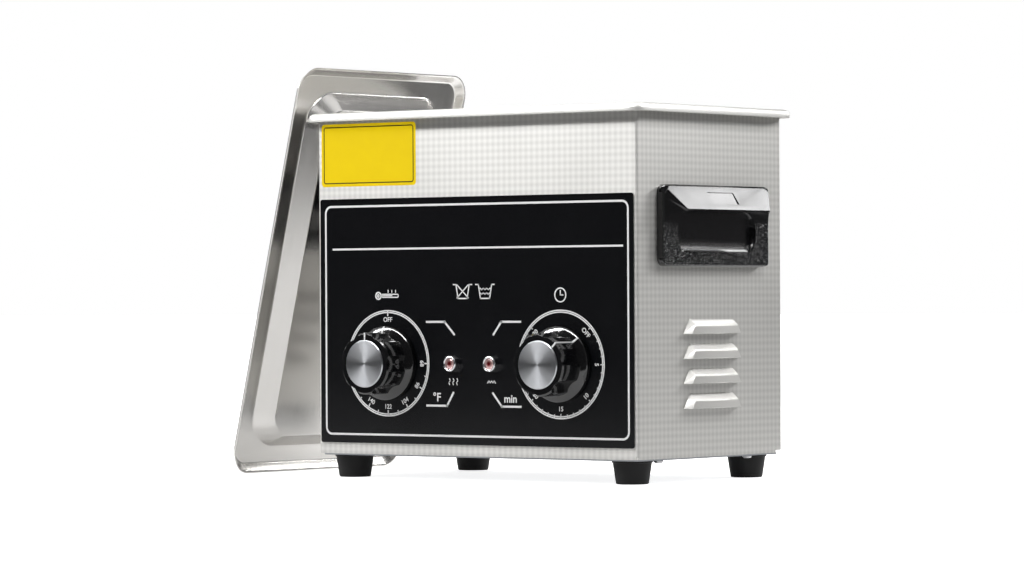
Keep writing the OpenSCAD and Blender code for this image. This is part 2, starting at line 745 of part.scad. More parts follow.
module shaft_form() {
  translate([0, 0, -sheet_t - shaft_in]) cylinder(d = shaft_d, h = sheet_t + shaft_in);
  linear_extrude(panel_t + shaft_out) shaft_plan(0);
}

module on_temperature() {
  on_front(-control_x, control_z) children();
}

// The timer's mark stands an eighth of a turn past the top when it is off
module on_timer() {
  on_front(control_x, control_z) rotate([0, 0, -45]) children();
}

module temperature_knob() {
  color("black") on_temperature() translate([0, 0, panel_t]) knob_form();
}

module temperature_knob_cap() {
  color("silver") on_temperature() translate([0, 0, panel_t]) knob_cap_form();
}

module thermostat_shaft() {
  color("gold") on_temperature() shaft_form();
}

module timer_knob() {
  color("black") on_timer() translate([0, 0, panel_t]) knob_form();
}

module timer_knob_cap() {
  color("silver") on_timer() translate([0, 0, panel_t]) knob_cap_form();
}

module timer_shaft() {
  color("gold") on_timer() shaft_form();
}

// Bores of a control's case, from its face at z = 0 inwards
module control_bores() {
  translate([0, 0, -shaft_in - shaft_clear])
    cylinder(r = shaft_d / 2 + shaft_clear, h = shaft_in + 1);
  for (sy = [-1, 1]) translate([0, sy * control_screw_gap / 2, -sheet_screw_l])
    cylinder(r = sheet_screw_d / 2 + screw_clear, h = sheet_screw_l + 1);
}

module thermostat_body() {
  color("ivory") on_front(-control_x, control_z) translate([0, 0, -sheet_t]) difference() {
    translate([0, 0, -thermostat_d]) linear_extrude(thermostat_d)
      round_rect(thermostat_w, thermostat_w, thermostat_r);
    control_bores();
  }
}

module timer_body() {
  color("ivory") on_front(control_x, control_z) translate([0, 0, -sheet_t]) difference() {
    translate([0, 0, -timer_l]) cylinder(d = timer_d, h = timer_l);
    control_bores();
  }
}

// Sensing bulb held under the tank, with its capillary led down into the thermostat
module thermostat_bulb() {
  z = tank_under - bulb_d / 2;
  y = -body_d / 2 + bulb_y;
  case_y = -body_d / 2 + sheet_t + thermostat_d;
  shaft_z = body_z + control_z;
  color("chocolate") {
    translate([-control_x, y, z]) rotate([0, 90, 0]) {
      cylinder(d = capillary_d, h = capillary_run + bulb_d / 2);
      translate([0, 0, capillary_run]) cylinder(d = bulb_d, h = bulb_l);
    }
    translate([-control_x, y, z]) sphere(d = capillary_d);
    translate([-control_x, y, shaft_z]) cylinder(d = capillary_d, h = z - shaft_z);
    translate([-control_x, y, shaft_z]) sphere(d = capillary_d);
    translate([-control_x, case_y, shaft_z]) rotate([-90, 0, 0])
      cylinder(d = capillary_d, h = y - case_y);
  }
}

module control_screws() {
  for (sx = [-1, 1], sy = [-1, 1])
    color("silver") on_front(sx * control_x, control_z + sy * control_screw_gap / 2)
      translate([0, 0, panel_t]) rotate([180, 0, 0])
        pan_screw(sheet_screw_d, panel_t + sheet_t + sheet_screw_l - screw_tip_gap, sheet_screw_head_d,
          control_head_h);
}

// Lamp bezel with a sunk, flared mouth and a sleeve through the panel
module lamp_bezel_form() {
  mouth = lamp_out - lamp_lens_in;
  rotate_extrude() polygon([[lamp_lens_d / 2 + lamp_clear, -lamp_sleeve_l],
    [lamp_sleeve_d / 2, -lamp_sleeve_l], [lamp_sleeve_d / 2, panel_t], [lamp_d / 2, panel_t],
    [lamp_d / 2, panel_t + lamp_out - lamp_edge],
    [lamp_d / 2 - lamp_edge / 2, panel_t + lamp_out - lamp_edge / 5],
    [lamp_d / 2 - lamp_edge, panel_t + lamp_out],
    [lamp_lens_d / 2 + lamp_clear, panel_t + mouth]]);
}

module lamp_lens_form() {
  top = panel_t + lamp_out - lamp_lens_in;
  rotate_extrude() polygon([[0, lens_short - lamp_sleeve_l],
    [lamp_lens_d / 2, lens_short - lamp_sleeve_l], [lamp_lens_d / 2, top - lens_edge],
    [lamp_lens_d / 2 - lens_edge, top], [0, top + lens_crown]]);
}

module heating_lamp_bezel() { color("silver") on_front(-lamp_x, control_z) lamp_bezel_form(); }
module heating_lamp_lens() { color("red") on_front(-lamp_x, control_z) lamp_lens_form(); }
module cleaning_lamp_bezel() { color("silver") on_front(lamp_x, control_z) lamp_bezel_form(); }
module cleaning_lamp_lens() { color("red") on_front(lamp_x, control_z) lamp_lens_form(); }

module lamp_nuts() {
  color("silver") for (sx = [-1, 1]) on_front(sx * lamp_x, control_z)
    translate([0, 0, -sheet_t - lamp_nut_h]) difference() {
      cylinder(d = lamp_nut_af / cos(30), h = lamp_nut_h, $fn = 6);
      translate([0, 0, -eps])
        cylinder(r = lamp_sleeve_d / 2 + lamp_clear, h = lamp_nut_h + 2 * eps);
    }
}

// Frame of a side handle, chamfered all round its face
module handle_frame() {
  w = handle_w / 2;
  h = handle_h / 2;
  e = handle_edge;
  t = handle_t;
  intersection() {
    rotate([90, 0, 90]) linear_extrude(t) round_rect(handle_w, handle_h, handle_r);
    linear_extrude(handle_h, center = true)
      polygon([[0, -w], [t - e, -w], [t, -w + e], [t, w - e], [t - e, w], [0, w]]);
    rotate([90, 0, 0]) linear_extrude(handle_w, center = true)
      polygon([[0, -h], [t - e, -h], [t, -h + e], [t, h - e], [t - e, h], [0, h]]);
  }
}

// Hood over the finger opening: a wedge with bevelled ends, arched underneath
module handle_hood() {
  w = handle_w / 2;
  top = handle_h / 2 - handle_edge;
  foot = hood_lip_z - hood_arch_r;
  difference() {
    intersection() {
      rotate([90, 0, 0]) linear_extrude(handle_w, center = true)
        polygon([[1, foot], [hood_out, foot], [hood_out, hood_lip_z + hood_lip_h],
          [handle_t, top], [1, top]]);
      linear_extrude(handle_h, center = true)
        polygon([[1, -w + handle_edge], [handle_t, -w + handle_edge], [hood_out, -hood_lip_w / 2],
          [hood_out, hood_lip_w / 2], [handle_t, w - handle_edge], [1, w - handle_edge]]);
      rotate([90, 0, 90]) linear_extrude(2 * hood_out) round_rect(2 * w - 2 * handle_edge, 2 * top, hood_r);
    }
    translate([handle_t, 0, hood_lip_z - handle_h]) rotate([90, 0, 90]) linear_extrude(hood_out)
      arch_plan(handle_w, handle_h, hood_arch_r);
  }
}

// Arched opening standing on y = 0
module arch_plan(w, h, r) {
  translate([-w / 2, 0]) square([w, h - r]);
  translate([-w / 2 + r, 0]) square([w - 2 * r, h]);
  for (s = [-1, 1]) translate([s * (w / 2 - r), h - r]) circle(r = r);
}

// Finger opening in the frame with its rounded scoop, and the hollow inside the hood above it
module handle_pocket() {
  open_h = hood_lip_z - finger_z;
  intersection() {
    rotate([90, 0, 0]) linear_extrude(handle_w, center = true) difference() {
      translate([finger_back, finger_z]) square([2 * hood_out - finger_back, open_h]);
      difference() {
        translate([finger_back - 1, finger_z - 1]) square([scoop_d + 2, scoop_h + 1]);
        translate([finger_back + finger_scoop, finger_z + scoop_h]) circle(r = finger_scoop);
      }
    }
    translate([0, 0, finger_z + open_h / 2]) rotate([90, 0, 90]) linear_extrude(2 * hood_out)
      round_rect(finger_w, open_h, finger_r);
  }
  rotate([90, 0, 0]) linear_extrude(finger_w - 2 * finger_r, center = true)
    polygon([[finger_back, hood_lip_z - 1], [hood_inner_x, hood_lip_z - 1],
      [hood_inner_x, hood_lip_z], [hood_inner_x - hood_hollow * tan(hood_slope),
      hood_lip_z + hood_hollow], [finger_back, hood_lip_z + hood_hollow]]);
}

// Plain sunk field in the middle of the hood's slope
module handle_field() {
  mid_x = (handle_t + hood_out) / 2;
  mid_z = handle_h / 2 - handle_edge / 2 - hood_drop / 2;
  translate([mid_x, 0, mid_z]) rotate([0, -hood_slope, 0])
    translate([-field_deep, -field_w / 2, -field_h / 2]) cube([hood_out, field_w, field_h]);
}

module handle_form() {
  difference() {
    union() {
      handle_frame();
      handle_hood();
    }
    handle_pocket();
    handle_field();
    for (s = [-1, 1]) translate([-eps, s * handle_screw_y, -handle_screw_low])
      rotate([0, 90, 0]) cylinder(r = sheet_screw_d / 2 + screw_clear, h = handle_screw_l + 0.3);
  }
}

module left_handle() { color("dimgray") on_side(-1) translate([0, 0, handle_z]) handle_form(); }
module right_handle() { color("dimgray") on_side(1) translate([0, 0, handle_z]) handle_form(); }

module handle_screws() {
  for (side = [-1, 1], s = [-1, 1])
    color("silver") on_side(side)
      translate([-sheet_t, s * handle_screw_y, handle_z - handle_screw_low]) rotate([0, 90, 0])
        pan_screw(sheet_screw_d, sheet_t + handle_screw_l, sheet_screw_head_d,
          sheet_screw_head_h);
}

// Rubber foot: a taper under a thin lip, bored for its screw
module foot(k) {
  color("#202020") translate([foot_places[k][0], foot_places[k][1], 0]) difference() {
    rotate_extrude() polygon([[0, 0], [foot_low_d / 2 - foot_edge, 0],
      [foot_low_d / 2, foot_edge], [foot_top_d / 2 - foot_lip_out, foot_h - foot_lip],
      [foot_top_d / 2, foot_h - foot_lip], [foot_top_d / 2, foot_h], [0, foot_h]]);
    translate([0, 0, -eps]) cylinder(d = foot_pocket_d, h = foot_pocket_h + eps);
    cylinder(r = foot_screw_d / 2 + screw_clear, h = foot_h + 1);
  }
}

module front_left_foot() { foot(0); }
module front_right_foot() { foot(1); }
module rear_left_foot() { foot(2); }
module rear_right_foot() { foot(3); }

module foot_screws() {
  for (p = foot_places) color("silver") translate([p[0], p[1], foot_pocket_h])
    pan_screw(foot_screw_d, foot_h - foot_pocket_h + base_t + foot_nut_h + 1,
      foot_screw_head_d, foot_screw_head_h);
}

module foot_nuts() {
  for (p = foot_places) color("silver") translate([p[0], p[1], body_z]) difference() {
    cylinder(d = foot_nut_af / cos(30), h = foot_nut_h, $fn = 6);
    translate([0, 0, -eps])
      cylinder(r = foot_screw_d / 2 + screw_clear, h = foot_nut_h + 2 * eps);
  }
}

module base_screws() {
  for (p = base_screw_places) color("silver") translate([p[0], p[1], foot_h])
    pan_screw(sheet_screw_d, base_t + sheet_screw_l, sheet_screw_head_d, sheet_screw_head_h);
}

module rear_panel_screws() {
  for (p = rear_screw_places) color("silver") on_rear(p[0], p[1]) translate([0, 0, sheet_t])
    rotate([180, 0, 0])
      pan_screw(sheet_screw_d, sheet_t + sheet_screw_l, sheet_screw_head_d, sheet_screw_head_h);
}

module on_transducer(side, z) {
  translate([side * transducer_x, transducer_y, z]) children();
}

module transducer_horn(side) {
  color("lightsteelblue") on_transducer(side, tank_under - horn_h) difference() {
    rotate_extrude() polygon([[0, 0], [ceramic_d / 2, 0], [ceramic_d / 2, horn_neck],
      [horn_d / 2, horn_h - horn_rim], [horn_d / 2, horn_h], [0, horn_h]]);
    translate([0, 0, -eps]) cylinder(r = clamp_d / 2 + clamp_clear, h = clamp_in + 1);
  }
}

module transducer_ceramics(side) {
  for (k = [0, 1]) color("peru")
    on_transducer(side, transducer_low + back_mass_h + k * (ceramic_t + electrode_t)) difference() {
      cylinder(d = ceramic_d, h = ceramic_t);
      translate([0, 0, -eps]) cylinder(d = ceramic_bore, h = ceramic_t + 2 * eps);
    }
}

module transducer_electrode(side) {
  color("gold") on_transducer(side, transducer_low + back_mass_h + ceramic_t)
    linear_extrude(electrode_t) difference() {
      union() {
        circle(d = ceramic_d);
        translate([-electrode_tab_w / 2, -ceramic_d / 2 - electrode_tab])
          square([electrode_tab_w, ceramic_d / 2 + electrode_tab]);
      }
      circle(d = ceramic_bore);
    }
}

module transducer_back_mass(side) {
  color("darkgray") on_transducer(side, transducer_low) difference() {
    cylinder(d = ceramic_d, h = back_mass_h);
    translate([0, 0, -eps]) cylinder(r = clamp_d / 2 + clamp_clear, h = back_mass_h + 2 * eps);
  }
}

module transducer_bolt(side) {
  color("silver") on_transducer(side, transducer_low) {
    translate([0, 0, -clamp_head_h / 2])
      cylinder(d = clamp_d, h = clamp_head_h / 2 + back_mass_h + ring_stack + clamp_in);
    translate([0, 0, -clamp_head_h])
      cylinder(d = clamp_af / cos(30), h = clamp_head_h, $fn = 6);
  }
}

module left_transducer_horn() { transducer_horn(-1); }
module left_transducer_ceramics() { transducer_ceramics(-1); }
module left_transducer_electrode() { transducer_electrode(-1); }
module left_transducer_back_mass() { transducer_back_mass(-1); }
module left_transducer_bolt() { transducer_bolt(-1); }
module right_transducer_horn() { transducer_horn(1); }
module right_transducer_ceramics() { transducer_ceramics(1); }
module right_transducer_electrode() { transducer_electrode(1); }
module right_transducer_back_mass() { transducer_back_mass(1); }
module right_transducer_bolt() { transducer_bolt(1); }

// Heater pad bonded to the outside of the tank's front or rear wall
module heater_pad(side) {
  wall = tank_d / 2 + tank_t;
  color("orange") translate([0, side > 0 ? wall + heater_t : -wall, rim_z - heater_low])
    rotate([90, 0, 0]) linear_extrude(heater_t) round_rect(heater_w, heater_h, 4);
}

module front_heater_pad() { heater_pad(-1); }
module rear_heater_pad() { heater_pad(1); }

module driver_board() {
  color("darkgreen") translate([0, board_y, board_z]) linear_extrude(board_t)
    square([board_w, board_d], center = true);
}

module board_standoffs() {
  for (p = standoff_places) color("white") translate([p[0], p[1], body_z])
    cylinder(d = standoff_d, h = standoff_h);
}

// Transformer: a laminated core with its winding round the middle limb
module driver_transformer() {
  color("dimgray") translate([-board_w / 4, board_y, board_z + board_t]) {
    translate([-core_w / 2, -core_d / 2, 0]) cube([core_w, core_d, core_h]);
    translate([0, 0, core_h / 2]) linear_extrude(winding_h, center = true)
      round_rect(winding_w, core_d + 2 * winding_out, winding_r);
  }
}

module driver_heatsink() {
  pitch = (sink_w - sink_t) / (sink_fins - 1);
  color("silver") translate([sink_t, board_y - sink_d / 2, board_z + board_t]) {
    cube([sink_w, sink_t, sink_h]);
    for (k = [0 : sink_fins - 1]) translate([k * pitch, 0, 0]) cube([sink_t, sink_d, sink_h]);
  }
}

module driver_capacitors() {
  for (k = [-1, 0, 1]) color("navy")
    translate([board_w / 2 - 2 * standoff_inset - capacitor_d / 2,
      board_y + k * (capacitor_d + capacitor_gap), board_z + board_t])
      cylinder(d = capacitor_d, h = capacitor_h);
}

// Socket outline with its two upper corners cut
module socket_plan(w, h, cut) {
  polygon([[-w / 2, -h / 2], [w / 2, -h / 2], [w / 2, h / 2 - cut], [w / 2 - cut, h / 2],
    [-w / 2 + cut, h / 2], [-w / 2, h / 2 - cut]]);
}

module on_inlet() {
  translate([inlet_x, body_d / 2 + sheet_t, body_z + inlet_z]) rotate([90, 0, 180]) children();
}

module power_inlet() {
  color("#303030") on_inlet() difference() {
    union() {
      linear_extrude(inlet_flange_t) round_rect(inlet_flange_w, inlet_flange_h, inlet_flange_r);
      translate([0, 0, inlet_flange_t - socket_deep - socket_wall])
        linear_extrude(socket_deep + socket_wall)
          square([inlet_body_w, inlet_body_h], center = true);
    }
    translate([0, 0, inlet_flange_t - socket_deep]) linear_extrude(socket_deep + 1)
      socket_plan(socket_w, socket_h, socket_cut);
    for (s = [-1, 1]) translate([s * inlet_screw_gap / 2, 0, -eps])
      cylinder(r = sheet_screw_d / 2 + screw_clear, h = inlet_flange_t + 1);
  }
}

// Three flat pins standing on the floor of the socket, the earth pin above the other two
module inlet_pins() {
  places = [[-pin_gap / 2, -pin_drop], [0, pin_step - pin_drop], [pin_gap / 2, -pin_drop]];
  color("silver") for (p = places)
    on_inlet() translate([p[0] - pin_w / 2, p[1] - pin_h / 2, inlet_flange_t - socket_deep])
      cube([pin_w, pin_h, socket_deep - pin_back]);
}

module inlet_screws() {
  for (s = [-1, 1]) color("silver") on_inlet()
    translate([s * inlet_screw_gap / 2, 0, inlet_flange_t]) rotate([180, 0, 0])
      pan_screw(sheet_screw_d, inlet_flange_t + sheet_t + sheet_screw_l, sheet_screw_head_d,
        sheet_screw_head_h);
}

// Stands the lid on its short edge beside the housing, leaning on the rim, underside to the tank
module lid_standing() {
  translate([lid_stand_x, lid_y, lid_stand_z]) rotate([0, lid_lean - 90, 0]) children();
}

// Lid as it would lie on the rim: flange underside at z = 0, pan and flared edge downwards
module lid_pan() {
  lip_k = lid_lip / lid_drop;
  lip_in = lid_t * sqrt(1 + lip_k * lip_k);
  pan_k = pan_draft / pan_h;
  pan_in = lid_t * sqrt(1 + pan_k * pan_k);
  color("gainsboro") lid_standing() difference() {
    union() {
      linear_extrude(lid_t)
        round_rect(lid_l - 2 * lid_lip, lid_w - 2 * lid_lip, lid_r - lid_lip);
      translate([0, 0, -lid_drop]) difference() {
        draft_block(lid_l, lid_w, lid_drop + lid_t / 2, lid_r, lip_k * (lid_drop + lid_t / 2));
        translate([0, 0, -eps]) draft_block(lid_l - 2 * lip_in + 2 * eps * lip_k,
          lid_w - 2 * lip_in + 2 * eps * lip_k, lid_drop + eps, lid_r - lip_in + eps * lip_k,
          lip_k * (lid_drop + eps));
      }
      mirror([0, 0, 1]) translate([0, 0, -lid_t / 2]) draft_block(pan_l + pan_k * lid_t,
        pan_w + pan_k * lid_t, pan_h + lid_t / 2, pan_r, pan_draft + pan_k * lid_t / 2);
    }
    mirror([0, 0, 1]) translate([0, 0, -2 * lid_t]) draft_block(pan_l - 2 * pan_in + 4 * pan_k * lid_t,
      pan_w - 2 * pan_in + 4 * pan_k * lid_t, pan_h + lid_t, pan_r - pan_in + 2 * pan_k * lid_t,
      pan_k * (pan_h + lid_t));
    for (s = [-1, 1]) translate([s * grab_screw_x, 0, -pan_h - 1])
      cylinder(r = sheet_screw_d / 2 + screw_clear, h = 4 * lid_t + 1);
  }
}

// Bow handle standing in the lid's pan, with a finger gap under its bar
module lid_handle() {
  foot = -pan_h + lid_t;
  color("#282828") lid_standing() translate([0, 0, foot]) difference() {
    intersection() {
      rotate([90, 0, 0]) linear_extrude(grab_w, center = true) difference() {
        polygon([[-grab_l / 2, 0], [grab_l / 2, 0], [grab_l / 2 - grab_slope, grab_h],
          [-grab_l / 2 + grab_slope, grab_h]]);
        translate([-grab_gap / 2, -eps]) square([grab_gap, grab_h - grab_t + eps]);
      }
      linear_extrude(grab_h) round_rect(grab_l, grab_w, grab_w / 2 - eps);
    }
    for (s = [-1, 1]) translate([s * grab_screw_x, 0, -eps])
      cylinder(r = sheet_screw_d / 2 + screw_clear, h = grab_screw_l + screw_tip_gap);
  }
}

module lid_handle_screws() {
  for (s = [-1, 1]) color("silver") lid_standing() translate([s * grab_screw_x, 0, -pan_h])
    pan_screw(sheet_screw_d, lid_t + grab_screw_l, sheet_screw_head_d, sheet_screw_head_h);
}

housing();
rear_panel();
base_plate();
tank();
tank_gasket();
front_panel();
temperature_knob();
temperature_knob_cap();
thermostat_shaft();
thermostat_body();
thermostat_bulb();
timer_knob();
timer_knob_cap();
timer_shaft();
timer_body();
control_screws();
heating_lamp_bezel();
heating_lamp_lens();
cleaning_lamp_bezel();
cleaning_lamp_lens();
lamp_nuts();
left_handle();
right_handle();
handle_screws();
front_left_foot();
front_right_foot();
rear_left_foot();
rear_right_foot();
foot_screws();
foot_nuts();
base_screws();
rear_panel_screws();
left_transducer_horn();
left_transducer_ceramics();
left_transducer_electrode();
left_transducer_back_mass();
left_transducer_bolt();
right_transducer_horn();
right_transducer_ceramics();
right_transducer_electrode();
right_transducer_back_mass();
right_transducer_bolt();
front_heater_pad();
rear_heater_pad();
driver_board();
board_standoffs();
driver_transformer();
driver_heatsink();
driver_capacitors();
power_inlet();
inlet_pins();
inlet_screws();
lid_pan();
lid_handle();
lid_handle_screws();
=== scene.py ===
# %% [markdown]
# A bench ultrasonic cleaner is a steel tank hung in a folded sheet housing, with a printed panel,
# two knobs, two lamps, moulded side handles and a loose steel lid. The imported solids hold the
# shapes, so this lesson loads them first and leaves them where they are.

# %% Load the imported solids
import json
import math

import bmesh
import bpy
from mathutils import Matrix, Vector


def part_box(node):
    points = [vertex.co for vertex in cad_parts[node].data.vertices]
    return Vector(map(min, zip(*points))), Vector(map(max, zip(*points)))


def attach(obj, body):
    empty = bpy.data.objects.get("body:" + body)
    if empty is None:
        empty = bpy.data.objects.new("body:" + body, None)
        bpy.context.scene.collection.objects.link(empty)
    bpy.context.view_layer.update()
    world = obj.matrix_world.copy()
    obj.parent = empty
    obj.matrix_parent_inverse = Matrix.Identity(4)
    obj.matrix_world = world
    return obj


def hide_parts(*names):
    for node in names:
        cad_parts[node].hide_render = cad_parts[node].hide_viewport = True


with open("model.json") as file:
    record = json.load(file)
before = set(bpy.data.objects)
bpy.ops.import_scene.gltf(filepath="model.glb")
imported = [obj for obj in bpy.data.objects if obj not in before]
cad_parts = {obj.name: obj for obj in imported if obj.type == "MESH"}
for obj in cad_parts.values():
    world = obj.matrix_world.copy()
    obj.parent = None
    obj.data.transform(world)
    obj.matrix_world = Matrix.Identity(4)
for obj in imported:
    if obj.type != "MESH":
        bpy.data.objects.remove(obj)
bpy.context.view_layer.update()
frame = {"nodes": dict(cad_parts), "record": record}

MM = 0.001

# %% [markdown]
# Colours are picked on screen, so they are written as sRGB hex values and turned to the linear
# values that the renderer works with. Every finish is a node tree around one Principled shader.
# One function adds any node, fills its sockets and links it, which keeps the recipes short.

# %% Colours and nodes


def linear(hex_colour):
    """Linear RGBA of an sRGB hex colour such as #c8c6c2."""
    channels = [int(hex_colour[i:i + 2], 16) / 255 for i in (1, 3, 5)]
    return [c / 12.92 if c <= 0.04045 else ((c + 0.055) / 1.055) ** 2.4 for c in channels] + [1.0]


def add(owner, kind, sockets=None, **settings):
    """Adds a shader node; a socket's value is a number, a colour or another node's output."""
    tree = owner.node_tree
    made = tree.nodes.new("ShaderNode" + kind)
    for name, value in settings.items():
        setattr(made, name, value)
    for socket, value in (sockets or {}).items():
        if isinstance(value, bpy.types.NodeSocket):
            tree.links.new(value, made.inputs[socket])
        else:
            made.inputs[socket].default_value = value
    return made


def new_finish(name, **sockets):
    """A material with a Principled shader; returns the material and the shader."""
    material = bpy.data.materials.new(name)
    material.use_nodes = True
    material.node_tree.nodes.clear()
    shader = add(material, "BsdfPrincipled", {k.replace("_", " "): v for k, v in sockets.items()})
    add(material, "OutputMaterial", {"Surface": shader.outputs["BSDF"]})
    return material, shader


def feed(material, shader, **sockets):
    """Links node outputs to the shader's sockets."""
    for name, output in sockets.items():
        material.node_tree.links.new(output, shader.inputs[name.replace("_", " ")])


print("mid grey on screen is", round(linear("#808080")[0], 3), "in linear light")

# %% [markdown]
# The camera stands where the photographer stood: about 2.7 m away at knob height, to the front
# right, with a long lens. A long lens keeps the upright edges nearly parallel. The three angles
# give the camera's own axes, and those make its matrix.

# %% Camera
CAMERA_AT = Vector((1.65870, -2.17597, 0.11302))
CAMERA_AZIMUTH = math.radians(37.80)
CAMERA_PITCH = math.radians(0.133)
CAMERA_ROLL = math.radians(-0.286)
LENS_MM = 152.57
SENSOR_MM = 36

look = Vector((-math.sin(CAMERA_AZIMUTH) * math.cos(CAMERA_PITCH),
               math.cos(CAMERA_AZIMUTH) * math.cos(CAMERA_PITCH), math.sin(CAMERA_PITCH)))
level = Vector((math.cos(CAMERA_AZIMUTH), math.sin(CAMERA_AZIMUTH), 0))
upright = level.cross(look)
right = level * math.cos(CAMERA_ROLL) + upright * math.sin(CAMERA_ROLL)
up = upright * math.cos(CAMERA_ROLL) - level * math.sin(CAMERA_ROLL)
turn = Matrix((right, up, -look)).transposed().to_4x4()

camera = bpy.data.objects.new("camera", bpy.data.cameras.new("camera"))
bpy.context.scene.collection.objects.link(camera)
camera.data.lens = LENS_MM
camera.data.sensor_width = SENSOR_MM
camera.matrix_world = Matrix.Translation(CAMERA_AT) @ turn
bpy.context.scene.camera = camera
bpy.context.scene.view_settings.view_transform = "Standard"
print("camera", round(CAMERA_AT.length, 2), "m from the cleaner")

# %% [markdown]
# A bmesh is Blender's mesh for editing: operators shape it in memory, and it becomes an object
# when it is done. Every piece of this lesson ends that way, with its place in its mesh and its
# object at the origin. A studio card is the simplest case: one square face, stretched and turned.

# %% From bmesh to object


def keep(bm, name):
    """Turns a bmesh into an object at the origin."""
    mesh = bpy.data.meshes.new(name)
    bm.to_mesh(mesh)
    bm.free()
    made = bpy.data.objects.new(name, mesh)
    bpy.context.scene.collection.objects.link(made)
    return made


def facing(place, target):
    """A matrix at place whose Z looks at target."""
    away = Vector(target) - Vector(place)
    return Matrix.Translation(place) @ away.to_track_quat("Z", "Y").to_matrix().to_4x4()


def rectangle(name, width, depth, place):
    """A flat rectangle whose normal is the place's own Z."""
    bm = bmesh.new()
    bmesh.ops.create_grid(bm, x_segments=1, y_segments=1, size=0.5)
    bmesh.ops.scale(bm, vec=(width, depth, 1), verts=bm.verts)
    bmesh.ops.transform(bm, matrix=place, verts=bm.verts)
    return keep(bm, name)


# %% [markdown]
# Steel shows what is around it, so the studio matters as much as the metal. The background is
# white for the camera, in reflections and through glass, while rays that only carry light meet a
# dimmer world. The Light Path node tells these rays apart, so the white adds no light to the
# object. The floor is a real surface, because it has to catch the cleaner's shadow.

# %% Floor and backdrop
FLOOR_SIDE = 40.0
CAMERA_LIFT = 0.8
MIRROR_LIFT = 0.2
AMBIENT = 0.5
WHITE = (1, 1, 1, 1)


def seen_white(owner):
    """1 for rays from the camera, a reflection or glass, 0 for rays that only carry light."""
    ray = add(owner, "LightPath").outputs
    direct = add(owner, "Math", {0: ray["Is Camera Ray"], 1: ray["Is Glossy Ray"]},
                 operation="MAXIMUM")
    return add(owner, "Math", {0: direct.outputs[0], 1: ray["Is Transmission Ray"]},
               operation="MAXIMUM").outputs[0]


floor = rectangle("floor", FLOOR_SIDE, FLOOR_SIDE, Matrix.Identity(4))
floor_white, floor_shader = new_finish("floor_white", Base_Color=linear("#f4f4f4"), Roughness=0.6,
                                       Emission_Color=WHITE)
floor_ray = add(floor_white, "LightPath").outputs
mirror_lift = add(floor_white, "Math", {0: seen_white(floor_white), 1: MIRROR_LIFT},
                  operation="MULTIPLY")
lift = add(floor_white, "Math", {0: floor_ray["Is Camera Ray"], 1: CAMERA_LIFT - MIRROR_LIFT,
                                 2: mirror_lift.outputs[0]}, operation="MULTIPLY_ADD")
feed(floor_white, floor_shader, Emission_Strength=lift.outputs[0])
floor.data.materials.append(floor_white)

world = bpy.data.worlds.new("studio")
world.use_nodes = True
world.node_tree.nodes.clear()
ambient = add(world, "Background", {"Color": WHITE, "Strength": AMBIENT})
backdrop = add(world, "Background", {"Color": WHITE, "Strength": 1.0})
both = add(world, "MixShader", {0: seen_white(world), 1: ambient.outputs[0], 2: backdrop.outputs[0]})
add(world, "OutputWorld", {"Surface": both.outputs[0]})
bpy.context.scene.world = world
print("floor", FLOOR_SIDE, "m wide, ambient light", AMBIENT)

# %% [markdown]
# A photographer shapes steel with cards: a dark card beside it gives a dark edge and a bright one
# a highlight. Only reflections see these cards, so they draw gradients on metal and gloss plastic
# and light nothing. A row holds a card's place, what it faces, its width and depth in metres and
# its shade, where 1 is white.

# %% Cards for reflections
CARDS = {
    "front_dark": ((-0.8, -0.5, 0.30), (-0.8, 0, 0.30), 2.4, 0.60, 0.05),
    "front_bright": ((-0.45, -0.5, 0.665), (-0.45, 0, 0.25), 1.3, 0.09, 42.0),
    "side_dark": ((0.55, 0.85, 0.55), (0, 0.85, 0.55), 2.3, 1.10, 0.08),
    "side_bright": ((0.30, 0.02, 0.40), (0.12, -0.03, 0.2), 0.10, 0.08, 36.0),
    "side_floor": ((0.345, 0.85, 0.002), (0.345, 0.85, 1), 0.40, 2.3, 0.93),
    "back_bright": ((0.57, 1.3, 0.98), (0.13, 0, 0.16), 0.30, 0.22, 11.2),
    "back_wash": ((0.62, 1.15, 0.66), (0.13, 0, 0.15), 0.5, 0.2, 17.0),
    "back_dark": ((0.0, 0.6, 0.16), (0.0, 0, 0.16), 1.0, 0.32, 0.1),
    "back_high": ((-0.1, 1.5, 1.05), (0.1, 0, 0.1), 1.6, 0.9, 0.06),
    "right_dark": ((0.8, -0.8, 0.45), (0.1, 0, 0.15), 1.3, 0.9, 0.15),
    "knob_bright": ((-0.92, -0.9, 0.94), (-0.02, -0.09, 0.07), 0.5, 0.2, 12.0),
}


def card(name, place, target, width, depth, shade):
    """A grey card that only reflections see."""
    made = rectangle(name, width, depth, facing(place, target))
    grey = new_finish(name + "_grey", Base_Color=(0, 0, 0, 1), Roughness=1.0, Specular_IOR_Level=0.0,
                      Emission_Color=(shade, shade, shade, 1), Emission_Strength=1.0)[0]
    made.data.materials.append(grey)
    made.visible_camera = False
    made.visible_diffuse = False
    made.visible_shadow = False
    made.visible_transmission = False


for name, row in CARDS.items():
    card(name, *row)
print("cards:", len(CARDS))

# %% [markdown]
# Three area lamps light the object. A narrow strip over the front and one over the right side make
# the overhanging rim throw a crisp shadow on both faces, and a broad box behind lights the top.
# Reflections don't see the lamps, because the cards draw the highlights. A row holds a lamp's
# place, what it faces, its width and depth in metres and its radiance.

# %% Lamps
SOFT_BOXES = {
    "front_strip": ((-0.7, -0.5, 0.72), (-0.2, 0, 0.2), 2.0, 0.10, 11.0),
    "side_strip": ((0.55, 0.6, 0.72), (0.1, 0.1, 0.2), 1.0, 0.10, 8.0),
    "back_box": ((0.2, 1.3, 1.15), (0.1, 0, 0.15), 1.6, 0.8, 6.0),
}


